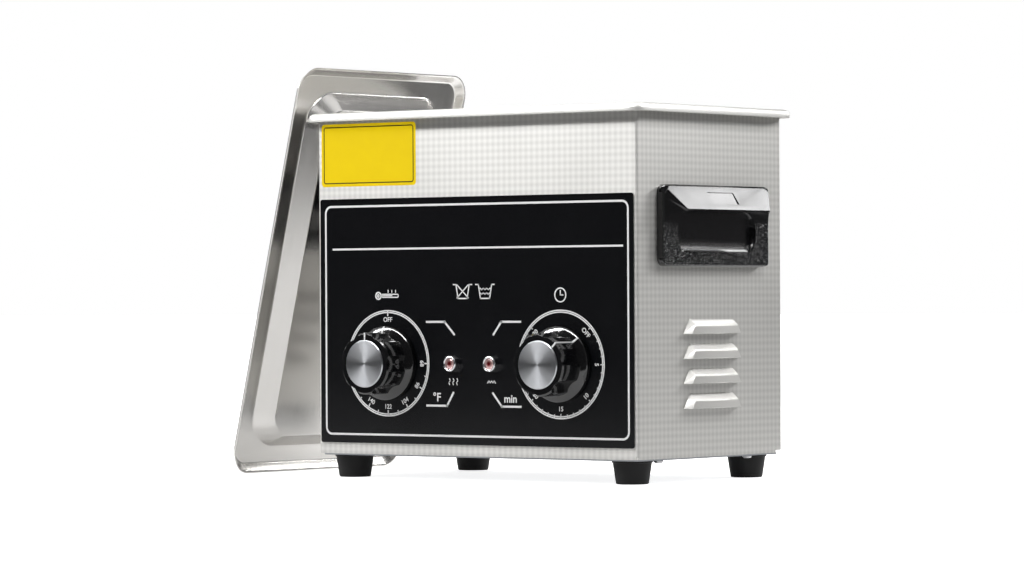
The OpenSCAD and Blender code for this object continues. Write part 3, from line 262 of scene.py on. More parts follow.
def soft_box(name, place, target, width, depth, radiance):
    """An area lamp aimed at a point; radiance 1 is the brightness of white paper."""
    lamp = bpy.data.lights.new(name, "AREA")
    lamp.shape = "RECTANGLE"
    lamp.size = width
    lamp.size_y = depth
    lamp.energy = radiance * math.pi * width * depth
    made = bpy.data.objects.new(name, lamp)
    bpy.context.scene.collection.objects.link(made)
    made.matrix_world = facing(place, target) @ Matrix.Rotation(math.pi, 4, "X")
    made.visible_camera = False
    made.visible_glossy = False


for name, row in SOFT_BOXES.items():
    soft_box(name, *row)
print("lamps:", list(SOFT_BOXES))

# %% [markdown]
# Stainless housing sheet of this kind is rolled with a fine check, which hides finger marks.
# Across the front it runs along X and across the sides along Y, so the sum of both serves every
# face. Where either wave is high the sheet stands up a little and is a little brighter. The press
# irons the check flat where it forms the louvres.

# %% Pressed stainless sheet
CHECK_PITCH = 4.25 * MM
CHECK_DEPTH = 0.08 * MM
SHEET_SIDE = 125 * MM
IRONED_FROM = SHEET_SIDE + 0.3 * MM
IRONED_TO = SHEET_SIDE + 1.5 * MM
SHEET_HAZE = 55.6 * MM


def pressed_stainless():
    """304 stainless sheet, rolled with a square check: broad soft sheen with a faint grid."""
    material, shader = new_finish("pressed_stainless", Metallic=1.0)
    place = add(material, "TexCoord")
    axes = add(material, "SeparateXYZ", {0: place.outputs["Object"]})
    along = add(material, "Math", {0: axes.outputs["X"], 1: axes.outputs["Y"]}, operation="ADD")
    waves = []
    for value in (along.outputs[0], axes.outputs["Z"]):
        angle = add(material, "Math", {0: value, 1: 2 * math.pi / CHECK_PITCH}, operation="MULTIPLY")
        waves.append(add(material, "Math", {0: angle.outputs[0]}, operation="SINE").outputs[0])
    grid = add(material, "Math", {0: waves[0], 1: waves[1]}, operation="ADD")
    check = add(material, "MapRange", {"Value": grid.outputs[0], "From Min": -2.0, "From Max": 2.0})
    outward = add(material, "Math", {0: axes.outputs["X"]}, operation="ABSOLUTE")
    height = add(material, "MapRange", {"Value": outward.outputs[0], "From Min": IRONED_FROM,
                                        "From Max": IRONED_TO, "To Min": check.outputs[0],
                                        "To Max": 0.5})
    haze = add(material, "TexNoise", {"Vector": place.outputs["Object"], "Scale": 1 / SHEET_HAZE,
                                      "Detail": 3.0})
    tint = add(material, "Mix", {"Factor": height.outputs[0], "A": linear("#cccbc8"),
                                 "B": linear("#e0dfdc")}, data_type="RGBA")
    gloss = add(material, "MapRange", {"Value": haze.outputs["Fac"], "To Min": 0.5, "To Max": 0.58})
    relief = add(material, "Bump", {"Height": height.outputs[0], "Strength": 0.35,
                                    "Distance": CHECK_DEPTH})
    feed(material, shader, Base_Color=tint.outputs["Result"], Roughness=gloss.outputs[0],
         Normal=relief.outputs[0])
    return material


print("check every", CHECK_PITCH / MM, "mm")

# %% [markdown]
# The tank is drawn from one sheet, which leaves faint upright streaks on its walls, and its rim is
# polished. The lid is pressed and polished, with a mirror-like flange. Both are bare stainless, so
# they share one recipe that differs in streak size, roughness and colour.

# %% Polished and drawn stainless
TANK_STREAK = (2.38, 2.38, 83.3)
LID_STREAK = (33.3, 1.43, 33.3)
STREAK_DEPTH = 0.02 * MM


def drawn_stainless(name, colour, low, high, streak):
    """Stainless worked in one direction; streak gives the noise's size in mm on X, Y, Z."""
    material, shader = new_finish(name, Metallic=1.0, Base_Color=linear(colour))
    place = add(material, "TexCoord")
    stretch = add(material, "Mapping", {"Vector": place.outputs["Object"],
                                        "Scale": [1 / (size * MM) for size in streak]})
    grain = add(material, "TexNoise", {"Vector": stretch.outputs[0], "Scale": 1.0, "Detail": 4.0})
    gloss = add(material, "MapRange", {"Value": grain.outputs["Fac"], "To Min": low, "To Max": high})
    relief = add(material, "Bump", {"Height": grain.outputs["Fac"], "Strength": 0.06,
                                    "Distance": STREAK_DEPTH})
    feed(material, shader, Roughness=gloss.outputs[0], Normal=relief.outputs[0])
    return material


print("streaks in mm:", TANK_STREAK, LID_STREAK)

# %% [markdown]
# Plastics and rubber differ mostly in gloss and in the grain of the mould. A moulded grain is a
# field of small rounded cells, so a cell pattern drives a small bump, and a soft noise varies the
# gloss so that no surface looks computed. On the handles the grain is only on the lower part of
# the frame's face, so a mask by place can hold it there.

# %% Plastics and rubber
PLASTIC_HAZE = 16.7 * MM
FACE_TOLERANCE = 0.5 * MM
GRAIN_FADE = 2 * MM


def grain_mask(material, place, face, limit):
    """1 on a side face below a height, 0 elsewhere."""
    axes = add(material, "SeparateXYZ", {0: place.outputs["Object"]})
    outward = add(material, "Math", {0: axes.outputs["X"]}, operation="ABSOLUTE")
    on_face = add(material, "Math", {0: outward.outputs[0], 1: face, 2: FACE_TOLERANCE},
                  operation="COMPARE")
    low_down = add(material, "MapRange", {"Value": axes.outputs["Z"], "From Min": limit,
                                          "From Max": limit + GRAIN_FADE, "To Min": 1.0,
                                          "To Max": 0.0})
    return add(material, "Math", {0: on_face.outputs[0], 1: low_down.outputs[0]},
               operation="MULTIPLY").outputs[0]


def moulded(name, colour, low, high, cell_mm, depth_mm, grain_on=None, **sockets):
    """Moulded plastic or rubber with a cell grain; grain_on holds a face and a height for a mask."""
    material, shader = new_finish(name, Base_Color=linear(colour), **sockets)
    place = add(material, "TexCoord")
    cells = add(material, "TexVoronoi", {"Vector": place.outputs["Object"],
                                         "Scale": 1 / (cell_mm * MM)}, feature="SMOOTH_F1")
    haze = add(material, "TexNoise", {"Vector": place.outputs["Object"], "Scale": 1 / PLASTIC_HAZE,
                                      "Detail": 2.0})
    gloss = add(material, "MapRange", {"Value": haze.outputs["Fac"], "To Min": low, "To Max": high})
    height = cells.outputs["Distance"]
    if grain_on:
        mask = grain_mask(material, place, *grain_on)
        height = add(material, "Math", {0: height, 1: mask}, operation="MULTIPLY").outputs[0]
    relief = add(material, "Bump", {"Height": height, "Strength": 1.0, "Distance": depth_mm * MM})
    feed(material, shader, Roughness=gloss.outputs[0], Normal=relief.outputs[0])
    return material


print("gloss of plastics varies over", PLASTIC_HAZE / MM, "mm")

# %% [markdown]
# The knob caps are spun aluminium: the tool leaves fine rings, and rings throw light as two bright
# fans that meet in the middle. An anisotropic shader with a tangent that runs round the axis does
# that. Small metal parts take one plain recipe with a soft noise in their gloss.

# %% Spun aluminium and small metal parts
METAL_HAZE = 4.55 * MM


def spun_aluminium():
    """Aluminium turned with a fine feed: bright fans that turn with the light."""
    material, shader = new_finish("spun_aluminium", Metallic=1.0, Base_Color=linear("#d6d8dc"),
                                  Roughness=0.28, Anisotropic=0.92, Anisotropic_Rotation=0.25)
    around = add(material, "Tangent", direction_type="RADIAL", axis="Y")
    feed(material, shader, Tangent=around.outputs[0])
    return material


def plain_metal(name, colour, low, high):
    """Plated or turned metal with slightly uneven gloss."""
    material, shader = new_finish(name, Metallic=1.0, Base_Color=linear(colour))
    place = add(material, "TexCoord")
    haze = add(material, "TexNoise", {"Vector": place.outputs["Object"], "Scale": 1 / METAL_HAZE,
                                      "Detail": 3.0})
    gloss = add(material, "MapRange", {"Value": haze.outputs["Fac"], "To Min": low, "To Max": high})
    feed(material, shader, Roughness=gloss.outputs[0])
    return material


print("gloss of small metal parts varies over", METAL_HAZE / MM, "mm")

# %% [markdown]
# A signal lamp is a small red lens over a bright reflector. Its colour is painted light: deep red in
# the middle, a painted shade where the light comes from far back, and pale towards its edge, a
# painted reflection of the reflector. The distance from the lamp's own axis drives that blend, and
# both lamps share it because they stand at the same distance left and right of the middle.

# %% Lamp lens
LAMP_LOW, LAMP_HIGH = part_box("cleaning_lamp_bezel")
LAMP_X = (LAMP_LOW.x + LAMP_HIGH.x) / 2 / MM
LAMP_Z = (LAMP_LOW.z + LAMP_HIGH.z) / 2 / MM
LAMP_FRONT = LAMP_LOW.y / MM
LENS_RADIUS = 3.2 * MM
LENS_DEEP = 0.3 * LENS_RADIUS


def lamp_glass():
    """Red lens with painted light: shaded deep red in the middle, pale reflection at its edge."""
    material, shader = new_finish("lamp_red", Metallic=0.55, Roughness=0.12, Coat_Weight=1.0)
    place = add(material, "TexCoord")
    axes = add(material, "SeparateXYZ", {0: place.outputs["Object"]})
    side = add(material, "Math", {0: axes.outputs["X"]}, operation="ABSOLUTE")
    across = add(material, "Math", {0: side.outputs[0], 1: LAMP_X * MM}, operation="SUBTRACT")
    above = add(material, "Math", {0: axes.outputs["Z"], 1: LAMP_Z * MM}, operation="SUBTRACT")
    flat = add(material, "CombineXYZ", {"X": across.outputs[0], "Z": above.outputs[0]})
    away = add(material, "VectorMath", {0: flat.outputs[0]}, operation="LENGTH")
    # painted light: shade in the lens's middle, a painted reflection of the reflector towards its
    # edge
    share = add(material, "MapRange", {"Value": away.outputs["Value"], "From Min": LENS_DEEP,
                                       "From Max": LENS_RADIUS})
    tint = add(material, "Mix", {"Factor": share.outputs[0], "A": linear("#7a1014"),
                                 "B": linear("#e9c9c6")}, data_type="RGBA")
    feed(material, shader, Base_Color=tint.outputs["Result"])
    return material


print("lamps at", round(LAMP_X, 1), "mm from the middle")

# %% [markdown]
# Each slot of the record gets its finish, and every solid takes the finish of its slot. In a row,
# two numbers are the lowest and highest roughness, and a moulded finish adds the size and depth of
# its grain in millimetres. The handle's grain stays on the lower part of its frame: the hood and
# the finger recess are smooth.

# %% Finishes by slot
HANDLE_LOW, HANDLE_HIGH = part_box("right_handle")
HANDLE_FACE = 130.1
HANDLE_GRAIN = (HANDLE_FACE * MM, HANDLE_LOW.z + 25 * MM)
finishes = {
    "stainless_sheet": pressed_stainless(),
    "stainless_drawn": drawn_stainless("drawn_stainless", "#e2e1de", 0.42, 0.5, TANK_STREAK),
    "stainless_lid": drawn_stainless("polished_stainless", "#dcdad7", 0.2, 0.28, LID_STREAK),
    "zinc_plate": plain_metal("zinc_plate", "#a9acb0", 0.35, 0.5),
    "panel_black": moulded("panel_black", "#0b0c0f", 0.2, 0.26, 0.5, 0.002, Specular_IOR_Level=0.3),
    "knob_black": moulded("knob_black", "#0c0c0e", 0.06, 0.11, 0.8, 0.001, Specular_IOR_Level=0.9),
    "spun_aluminium": spun_aluminium(),
    "handle_black": moulded("handle_black", "#0c0c0e", 0.15, 0.2, 1.3, 0.8, HANDLE_GRAIN,
                            Specular_IOR_Level=0.8),
    "foot_rubber": moulded("foot_rubber", "#0c0c0d", 0.5, 0.62, 0.5, 0.03, Specular_IOR_Level=0.3),
    "gasket_rubber": moulded("gasket_rubber", "#3a3a3a", 0.6, 0.75, 0.6, 0.03),
    "lamp_chrome": plain_metal("lamp_chrome", "#e2e2e4", 0.05, 0.1),
    "lamp_red": lamp_glass(),
    "screw_steel": plain_metal("screw_steel", "#c4c4c6", 0.18, 0.3),
    "shaft_brass": plain_metal("shaft_brass", "#c9a45c", 0.2, 0.3),
    "control_case": moulded("control_case", "#d8d0b4", 0.4, 0.5, 0.8, 0.01),
    "copper_tube": plain_metal("copper_tube", "#b8734a", 0.22, 0.35),
    "horn_aluminium": plain_metal("horn_aluminium", "#c9ccd0", 0.25, 0.35),
    "ceramic_ring": moulded("ceramic_ring", "#b58a57", 0.5, 0.6, 0.6, 0.01),
    "back_mass_steel": plain_metal("back_mass_steel", "#6d6f73", 0.3, 0.42),
    "heater_silicone": moulded("heater_silicone", "#b0421f", 0.5, 0.6, 1.2, 0.05),
    "board_green": moulded("board_green", "#1d5a38", 0.35, 0.45, 0.6, 0.005),
    "nylon_white": moulded("nylon_white", "#e4e4de", 0.4, 0.5, 0.8, 0.01),
    "core_iron": moulded("core_iron", "#2b2b2d", 0.5, 0.6, 0.8, 0.02),
    "capacitor_blue": moulded("capacitor_blue", "#243a78", 0.25, 0.35, 1.0, 0.01),
    "inlet_black": moulded("inlet_black", "#17171a", 0.35, 0.45, 0.5, 0.02),
}
slot_of = {part["node"]: part["material_slot"] for part in frame["record"]["subparts"]}
for name, solid in frame["nodes"].items():
    solid.data.materials.clear()
    solid.data.materials.append(finishes[slot_of[name]])
print("finishes:", len(finishes), "on", len(slot_of), "solids")

# %% [markdown]
# Where a solid needs finer edges, a copy of it is shown in its place. A solid's mesh is loose
# triangles, so the copy is merged first. Faces that meet at a small angle are shaded as one smooth
# surface and the rest keep a crisp edge. The copy takes the body and the finish of its solid.

# %% Copies that stand for solids
WELD = 0.002 * MM
SMOOTH_BELOW = math.radians(35)


def merged_copy(node):
    """A bmesh of a solid, with its loose triangles joined."""
    bm = bmesh.new()
    bm.from_mesh(frame["nodes"][node].data)
    bmesh.ops.remove_doubles(bm, verts=bm.verts, dist=WELD)
    return bm


def body_of(node):
    """The body that carries a node."""
    bodies = frame["record"]["behaviour"]["bodies"]
    return next(body for body, members in bodies.items() if node in members)


def stand_for(piece, node):
    """Shows a piece in place of a solid, on its body and with its finish."""
    piece.data.shade_smooth()
    piece.data.set_sharp_from_angle(angle=SMOOTH_BELOW)
    piece.data.materials.clear()
    piece.data.materials.append(finishes[slot_of[node]])
    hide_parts(node)
    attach(piece, body_of(node))
    print(piece.name, len(piece.data.polygons), "faces")


print("solids to copy from:", len(frame["nodes"]))

# %% [markdown]
# A moulded or pressed edge is never razor sharp, and the thin highlight along it is what tells
# the eye how big the thing is. The copy's flat triangles are dissolved into whole faces, and the
# creases picked by their angle and place get a rounded bevel, pass by pass. Weighted normals then
# keep the large faces flat beside the bevels.

# %% Rounded edges
FLAT_WITHIN = math.radians(0.5)
BEVEL_STEPS = 4


def rounded(node, passes):
    """A copy of a solid with rounded creases; a pass is a radius, two angles and a test of place."""
    bm = merged_copy(node)
    bmesh.ops.dissolve_limit(bm, angle_limit=FLAT_WITHIN, verts=bm.verts, edges=bm.edges)
    for radius, least, most, place in passes:
        chosen = [e for e in bm.edges if e.is_manifold
                  and least < math.degrees(e.calc_face_angle(0)) < most
                  and place((e.verts[0].co + e.verts[1].co) / 2 / MM, e)]
        bmesh.ops.bevel(bm, geom=chosen, offset=radius * MM, offset_type="OFFSET", affect="EDGES",
                        segments=BEVEL_STEPS, profile=0.5, material=-1, clamp_overlap=True)
    piece = keep(bm, node + "_rounded")
    piece.modifiers.new("even_flats", "WEIGHTED_NORMAL").keep_sharp = True
    stand_for(piece, node)


print("bevels have", BEVEL_STEPS, "steps")

# %% [markdown]
# Sheet metal needs a choice of edges. The tank's rim is rolled over, so its outer top edge, the
# inside of its lip and the edge to the basin get large radii. The louvres' long bends are round,
# while their short sloping ends stay crisp. The lid's flange meets its walls in one bend.

# %% Rolled and bent sheet edges
CREASE = 28
RIM_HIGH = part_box("tank")[1] / MM
LIP_BAND = 4
RIM_TOP = RIM_HIGH.z - 0.2
LIP_INSIDE = (RIM_HIGH.z - 1.5, RIM_HIGH.z - 0.5)
LOUVRE_FROM = SHEET_SIDE / MM + 2
ALONG_SHEET = 0.95


def anywhere(middle, edge):
    """Every place on a solid."""
    return True


def at_lip(middle):
    """Close to the rim's outer edge."""
    return abs(middle.x) > RIM_HIGH.x - LIP_BAND or abs(middle.y) > RIM_HIGH.y - LIP_BAND


def on_rim(middle, edge):
    """The outer edge on top of the rim."""
    return at_lip(middle) and middle.z > RIM_TOP


def under_rim(middle, edge):
    """The inner edge between the rim's top and its turned-down lip."""
    return at_lip(middle) and LIP_INSIDE[0] < middle.z < LIP_INSIDE[1]


def at_basin(middle, edge):
    """The edge between the rim and the basin."""
    return middle.z > RIM_TOP


def on_louvre(middle, edge):
    """Outer edges of the louvres that run along the sheet."""
    run = edge.verts[1].co - edge.verts[0].co
    return abs(middle.x) > LOUVRE_FROM and abs(run.y) > ALONG_SHEET * run.length


rounded("housing", [(0.9, 40, 75, on_louvre), (0.38, 80, 100, on_louvre)])
rounded("tank", [(2.4, 60, 120, under_rim), (3.4, 60, 120, on_rim), (2.2, 60, 120, at_basin),
                 (0.3, CREASE, 180, anywhere)])
rounded("lid_pan", [(1.8, 40, 60, anywhere), (0.3, 60, 180, anywhere)])

# %% [markdown]
# Moulded pieces have a radius on every crease, because a mould can't be razor sharp. The side
# handles need a choice: the arch runs into its frame in a wide hollow, the other long edges are
# just softened, and the small sunk field on the hood stays crisp.

# %% Moulded edges
HANDLE_MIDDLE = (HANDLE_LOW.z + HANDLE_HIGH.z) / 2 / MM
ARCH_TOP = HANDLE_MIDDLE + 12
FIELD_HALF = 15
FIELD_SPAN = (HANDLE_MIDDLE + 10.5, HANDLE_MIDDLE + 22)
LONG_EDGE = 6 * MM
ON_FACE = 0.05


def under_hood(middle, edge):
    """The inner edge between a handle's frame and the arch of its hood."""
    return (not edge.is_convex and abs(abs(middle.x) - HANDLE_FACE) < ON_FACE
            and middle.z < ARCH_TOP)


def long_edge(middle, edge):
    """Long edges of a handle, away from the small sunk field on its hood."""
    on_field = abs(middle.y) < FIELD_HALF and FIELD_SPAN[0] < middle.z < FIELD_SPAN[1]
    return edge.calc_length() > LONG_EDGE and not on_field


rounded("lid_handle", [(1.2, CREASE, 180, anywhere)])
rounded("power_inlet", [(0.4, CREASE, 180, anywhere)])
for side in ("left", "right"):
    rounded(side + "_handle", [(3.5, 60, 120, under_hood), (0.6, CREASE, 180, long_edge)])
    for end in ("front", "rear"):
        rounded(end + "_" + side + "_foot", [(0.5, CREASE, 180, anywhere)])
for control in ("temperature", "timer"):
    rounded(control + "_knob", [(0.7, CREASE, 180, anywhere)])

# %% [markdown]
# A lamp's bezel is turned with a round front edge, and its lens is domed. A wide bevel on a short
# cylinder gives both, and the test of place keeps it on the front.

# %% Rounded lamps
BEZEL_RIM = 4.5
BEZEL_EDGE = LAMP_FRONT + 0.2
LENS_EDGE = LAMP_FRONT + 0.8


def bezel_front(middle, edge):
    """The outer front edge of a lamp's bezel."""
    away = math.hypot(abs(middle.x) - LAMP_X, middle.z - LAMP_Z)
    return middle.y < BEZEL_EDGE and away > BEZEL_RIM


def lens_front(middle, edge):
    """The front edge of a lamp's lens."""
    return middle.y < LENS_EDGE


for lamp in ("heating", "cleaning"):
    rounded(lamp + "_lamp_bezel", [(1.8, 60, 120, bezel_front), (0.2, 60, 120, anywhere)])
    rounded(lamp + "_lamp_lens", [(1.4, 60, 120, lens_front)])

# %% [markdown]
# The screws that show have a cross recess. A three by three grid without its corners is a cross,
# and pulling it up makes a prism that reaches from above a head into it. Several prisms are merged
# into one mesh, so that one cut serves all the screws of a node.

# %% Cross prisms
RECESS_SHARE = 0.62
RECESS_DEPTH = 0.9 * MM
CORNER_FROM = 0.1


def merge_into(bm, part, place):
    """Adds one bmesh to another at a place."""
    bmesh.ops.transform(part, matrix=place, verts=part.verts)
    mesh = bpy.data.meshes.new("part")
    part.to_mesh(mesh)
    part.free()
    bm.from_mesh(mesh)
    bpy.data.meshes.remove(mesh)


def cross_prism(bm, tip, outward, across):
    """Adds a cross-shaped prism that reaches from above a head into it."""
    cross = bmesh.new()
    bmesh.ops.create_grid(cross, x_segments=3, y_segments=3, size=0.5)
    corners = [f for f in cross.faces
               if min(abs(c) for c in f.calc_center_median().xy) > CORNER_FROM]
    bmesh.ops.delete(cross, geom=corners, context="FACES")
    grown = bmesh.ops.extrude_face_region(cross, geom=cross.faces[:], use_keep_orig=True)
    raised = [v for v in grown["geom"] if isinstance(v, bmesh.types.BMVert)]
    bmesh.ops.translate(cross, vec=(0, 0, 1), verts=raised)
    bmesh.ops.recalc_face_normals(cross, faces=cross.faces)
    place = facing(tip - outward * RECESS_DEPTH, tip)
    merge_into(bm, cross, place @ Matrix.Diagonal((across, across, 2 * RECESS_DEPTH, 1)))


print("recesses", RECESS_DEPTH / MM, "mm deep")

# %% [markdown]
# Each loose shell of a node's mesh is one screw. Its middle and the way its head faces give the
# tip of the head, and its reach from that axis gives the head's size. A boolean then cuts the
# prisms out, and its result becomes the piece's mesh.

# %% Cross recesses
LID_LEAN = math.radians(13.5)
LID_INWARD = (math.cos(LID_LEAN), 0, -math.sin(LID_LEAN))
CROSSED = {"rear_panel_screws": (0, 1, 0), "inlet_screws": (0, 1, 0), "base_screws": (0, 0, -1),
           "foot_screws": (0, 0, -1), "lid_handle_screws": LID_INWARD}


def shells(bm):
    """The vertices of each loose shell in a mesh."""
    left = set(bm.verts)
    for first in bm.verts:
        if first not in left:
            continue
        left.remove(first)
        shell = [first]
        for vertex in shell:
            near = [e.other_vert(vertex) for e in vertex.link_edges]
            fresh = [v for v in near if v in left]
            left.difference_update(fresh)
            shell.extend(fresh)
        yield shell


def cross_headed(node, outward):
    """A copy of a node's screws with a cross recess in each head."""
    outward = Vector(outward).normalized()
    bm = merged_copy(node)
    cutter = bmesh.new()
    for shell in shells(bm):
        middle = sum((v.co for v in shell), Vector()) / len(shell)
        tip = middle + outward * max((v.co - middle).dot(outward) for v in shell)
        reach = max((v.co - middle - outward * (v.co - middle).dot(outward)).length for v in shell)
        cross_prism(cutter, tip, outward, 2 * reach * RECESS_SHARE)
    piece = keep(bm, node + "_crossed")
    knife = keep(cutter, node + "_knife")
    cut = piece.modifiers.new("recess", "BOOLEAN")
    cut.object = knife
    cut.solver = "EXACT"
    bpy.context.view_layer.update()
    evaluated = piece.evaluated_get(bpy.context.evaluated_depsgraph_get())
    mesh = bpy.data.meshes.new_from_object(evaluated)
    piece.modifiers.clear()
    piece.data = mesh
    bpy.data.objects.remove(knife)
    stand_for(piece, node)


for node, outward in CROSSED.items():
    cross_headed(node, outward)

# %% [markdown]
# Everything printed on the front is drawn flat first, in millimetres, with X to the right, Y up
# from the housing's lower fold and Z out of the panel. One matrix then stands the drawing on its
# face. The ink is a slab a few hundredths of a millimetre thick, so it can't sink into the panel.

# %% Printed lines
INK = 0.06 * MM
LOWER_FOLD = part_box("housing")[0].z
PANEL_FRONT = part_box("front_panel")[0].y


def stroke(bm, start, end, width):
    """A straight line of ink between two points."""
    a = Vector((*start, 0)) * MM
    b = Vector((*end, 0)) * MM
    run = b - a
    turn_to = Matrix.Rotation(math.atan2(run.y, run.x), 4, "Z")
    size = Matrix.Diagonal((run.length + width * MM, width * MM, INK, 1))
    place = Matrix.Translation((a + b) / 2 + Vector((0, 0, INK / 2)))
    bmesh.ops.create_cube(bm, size=1, matrix=place @ turn_to @ size)


def polyline(bm, points, width):
    """A bent line of ink."""
    for start, end in zip(points, points[1:]):
        stroke(bm, start, end, width)


def ring(bm, centre, outer, inner, steps=96):
    """A flat ring of ink, spun from its cross-section."""
    part = bmesh.new()
    section = ((inner, 0), (outer, 0), (outer, INK), (inner, INK))
    corners = [part.verts.new((r * MM, 0, z)) for r, z in section]
    edges = [part.edges.new((corners[i], corners[(i + 1) % 4])) for i in range(4)]
    bmesh.ops.spin(part, geom=corners + edges, cent=(0, 0, 0), axis=(0, 0, 1),
                   angle=2 * math.pi, steps=steps, use_merge=True)
    bmesh.ops.recalc_face_normals(part, faces=part.faces)
    merge_into(bm, part, Matrix.Translation(Vector((*centre, 0)) * MM))


print("ink", INK / MM, "mm thick")

# %% [markdown]
# Rounded fields and outlines start from one square face whose corners are bevelled. An outline is
# what is left when the face is inset and its inside deleted. Pulling the faces up gives both the
# thickness of the ink.

# %% Printed fields and outlines
CORNER_STEPS = 8


def rounded_field(width, height, radius, segments):
    """A flat rectangle with rounded corners."""
    part = bmesh.new()
    bmesh.ops.create_grid(part, x_segments=1, y_segments=1, size=0.5)
    bmesh.ops.scale(part, vec=(width * MM, height * MM, 1), verts=part.verts)
    bmesh.ops.bevel(part, geom=part.verts[:], offset=radius * MM, offset_type="OFFSET",
                    affect="VERTICES", segments=segments, profile=0.5, material=-1)
    return part


def raise_ink(bm):
    """Gives flat faces the thickness of the ink."""
    grown = bmesh.ops.extrude_face_region(bm, geom=bm.faces[:], use_keep_orig=True)
    top = [v for v in grown["geom"] if isinstance(v, bmesh.types.BMVert)]
    bmesh.ops.translate(bm, vec=(0, 0, INK), verts=top)
    bmesh.ops.recalc_face_normals(bm, faces=bm.faces)


def outline(bm, centre, width, height, radius, line):
    """A rounded rectangle drawn as a line."""
    part = rounded_field(width, height, radius, CORNER_STEPS)
    inside = part.faces[:]
    bmesh.ops.inset_region(part, faces=inside, thickness=line * MM, use_even_offset=True,
                           use_boundary=True)
    bmesh.ops.delete(part, geom=inside, context="FACES_ONLY")
    raise_ink(part)
    merge_into(bm, part, Matrix.Translation(Vector((*centre, 0)) * MM))


print("outlines turn their corners in", CORNER_STEPS, "steps")

# %% [markdown]
# Figures and unit signs come from Blender's own font. A text object is turned to a mesh while it
# is still flat, and only then merged into the drawing, so its place ends up in the mesh.

# %% Lettering
CAPITAL_SHARE = 0.73


def lettering(bm, words, centre, height, angle, weight):
    """Printed figures or words, centred on a point, with capitals of the given height."""
    curve = bpy.data.curves.new("letters", "FONT")
    curve.body = words
    curve.align_x = "CENTER"
    curve.align_y = "CENTER"
    curve.size = height * MM / CAPITAL_SHARE
    curve.offset = weight * MM
    curve.extrude = INK / 2
    curve.resolution_u = 4
    letters = bpy.data.objects.new("letters", curve)
    bpy.context.scene.collection.objects.link(letters)
    bpy.context.view_layer.update()
    mesh = bpy.data.meshes.new_from_object(letters)
    part = bmesh.new()
    part.from_mesh(mesh)
    bpy.data.objects.remove(letters)
    bpy.data.curves.remove(curve)
    bpy.data.meshes.remove(mesh)
    place = Matrix.Translation(Vector((*centre, 0)) * MM + Vector((0, 0, INK / 2)))
    merge_into(bm, part, place @ Matrix.Rotation(angle, 4, "Z"))


print("capitals are", CAPITAL_SHARE, "of the font's size")

# %% [markdown]
# The panel's print is white ink on black: a dense matt film, pressed through a screen, whose cover
# is never quite even. A fine noise blends two whites for that. A finished drawing is stood on its
# face and rides on the body that it is printed on.

# %% White ink
INK_GRIT = 1.43 * MM


def white_ink():
    """Screen-printed white: a dense matt film with slightly uneven cover."""
    material, shader = new_finish("white_ink", Roughness=0.45)
    place = add(material, "TexCoord")
    cover = add(material, "TexNoise", {"Vector": place.outputs["Object"], "Scale": 1 / INK_GRIT,
                                       "Detail": 2.0})
    tint = add(material, "Mix", {"Factor": cover.outputs["Fac"], "A": linear("#e4e4e4"),
                                 "B": linear("#f6f6f6")}, data_type="RGBA")
    feed(material, shader, Base_Color=tint.outputs["Result"])
    return material


INK_WHITE = white_ink()


def print_on(bm, name, front_y, body="cleaner", ink=INK_WHITE):
    """Stands a finished drawing on a front face."""
    place = Matrix.Translation((0, front_y, LOWER_FOLD)) @ Matrix.Rotation(math.pi / 2, 4, "X")
    bmesh.ops.transform(bm, matrix=place, verts=bm.verts)
    piece = keep(bm, name)
    piece.data.materials.append(ink)
    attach(piece, body)
    print(name, len(piece.data.polygons), "faces")


# %% [markdown]
# A border line runs round the panel and a rule closes off its bare head. Four brackets stand
# between the lamps and the dials, and the two lower ones hold the unit of the dial beside them.
# The points were measured on the panel, so each bracket is a bent line through its own points.

# %% Panel border, rule and brackets
BORDER = ((0.4, 84), 238.4, 144.6, 5, 1.3)
RULE = ((-112, 128.7), (114.6, 128.7))
RULE_WIDTH = 1.2
BRACKETS = (
    ((-36.4, 83), (-22.3, 83), (-14.8, 75.3)), ((37, 83), (22.2, 83), (16.2, 75.3)),
    ((-36.4, 31), (-20.6, 31), (-15.6, 39)), ((37, 31), (22.4, 31), (15.6, 39)),
)
BRACKET_WIDTH = 1.3
UNITS = {"°F": ((-28.6, 36), 5.4), "min": ((29.2, 35.6), 5.0)}
UNIT_WEIGHT = 0.12

border = bmesh.new()
outline(border, *BORDER)
polyline(border, RULE, RULE_WIDTH)
for bracket in BRACKETS:
    polyline(border, bracket, BRACKET_WIDTH)
for unit, (centre, height) in UNITS.items():
    lettering(border, unit, centre, height, 0, UNIT_WEIGHT)
print_on(border, "panel_lines", PANEL_FRONT)

# %% [markdown]
# Signs that any cleaner could carry say what the controls do. Two small tubs stand over the lamps,
# one crossed out and empty, one full. A thermometer and a clock stand over the dials, and heat and
# ripples under the lamps. Each sign is a few strokes about its own middle.

# %% Signs
THIN = 0.6
FINE = 0.7
BOLD = 0.8


def tub(bm, x, z, full):
    """A small open tub, crossed out or with two waves in it."""
    polyline(bm, [(x - 7.2, z + 4.2), (x - 5.2, z + 4.2), (x - 3.6, z - 4.4), (x + 3.6, z - 4.4),
                  (x + 5.2, z + 4.2), (x + 7.2, z + 4.2)], BOLD)
    if full:
        for wave_z in (z + 1.4, z - 1.4):
            polyline(bm, [(x - 3.9 + 1.3 * k, wave_z + 0.5 * (-1) ** k) for k in range(7)], FINE)
    else:
        polyline(bm, [(x - 4.4, z + 4.0), (x + 4.4, z - 4.0)], FINE)
        polyline(bm, [(x - 4.4, z - 4.0), (x + 4.4, z + 4.0)], FINE)


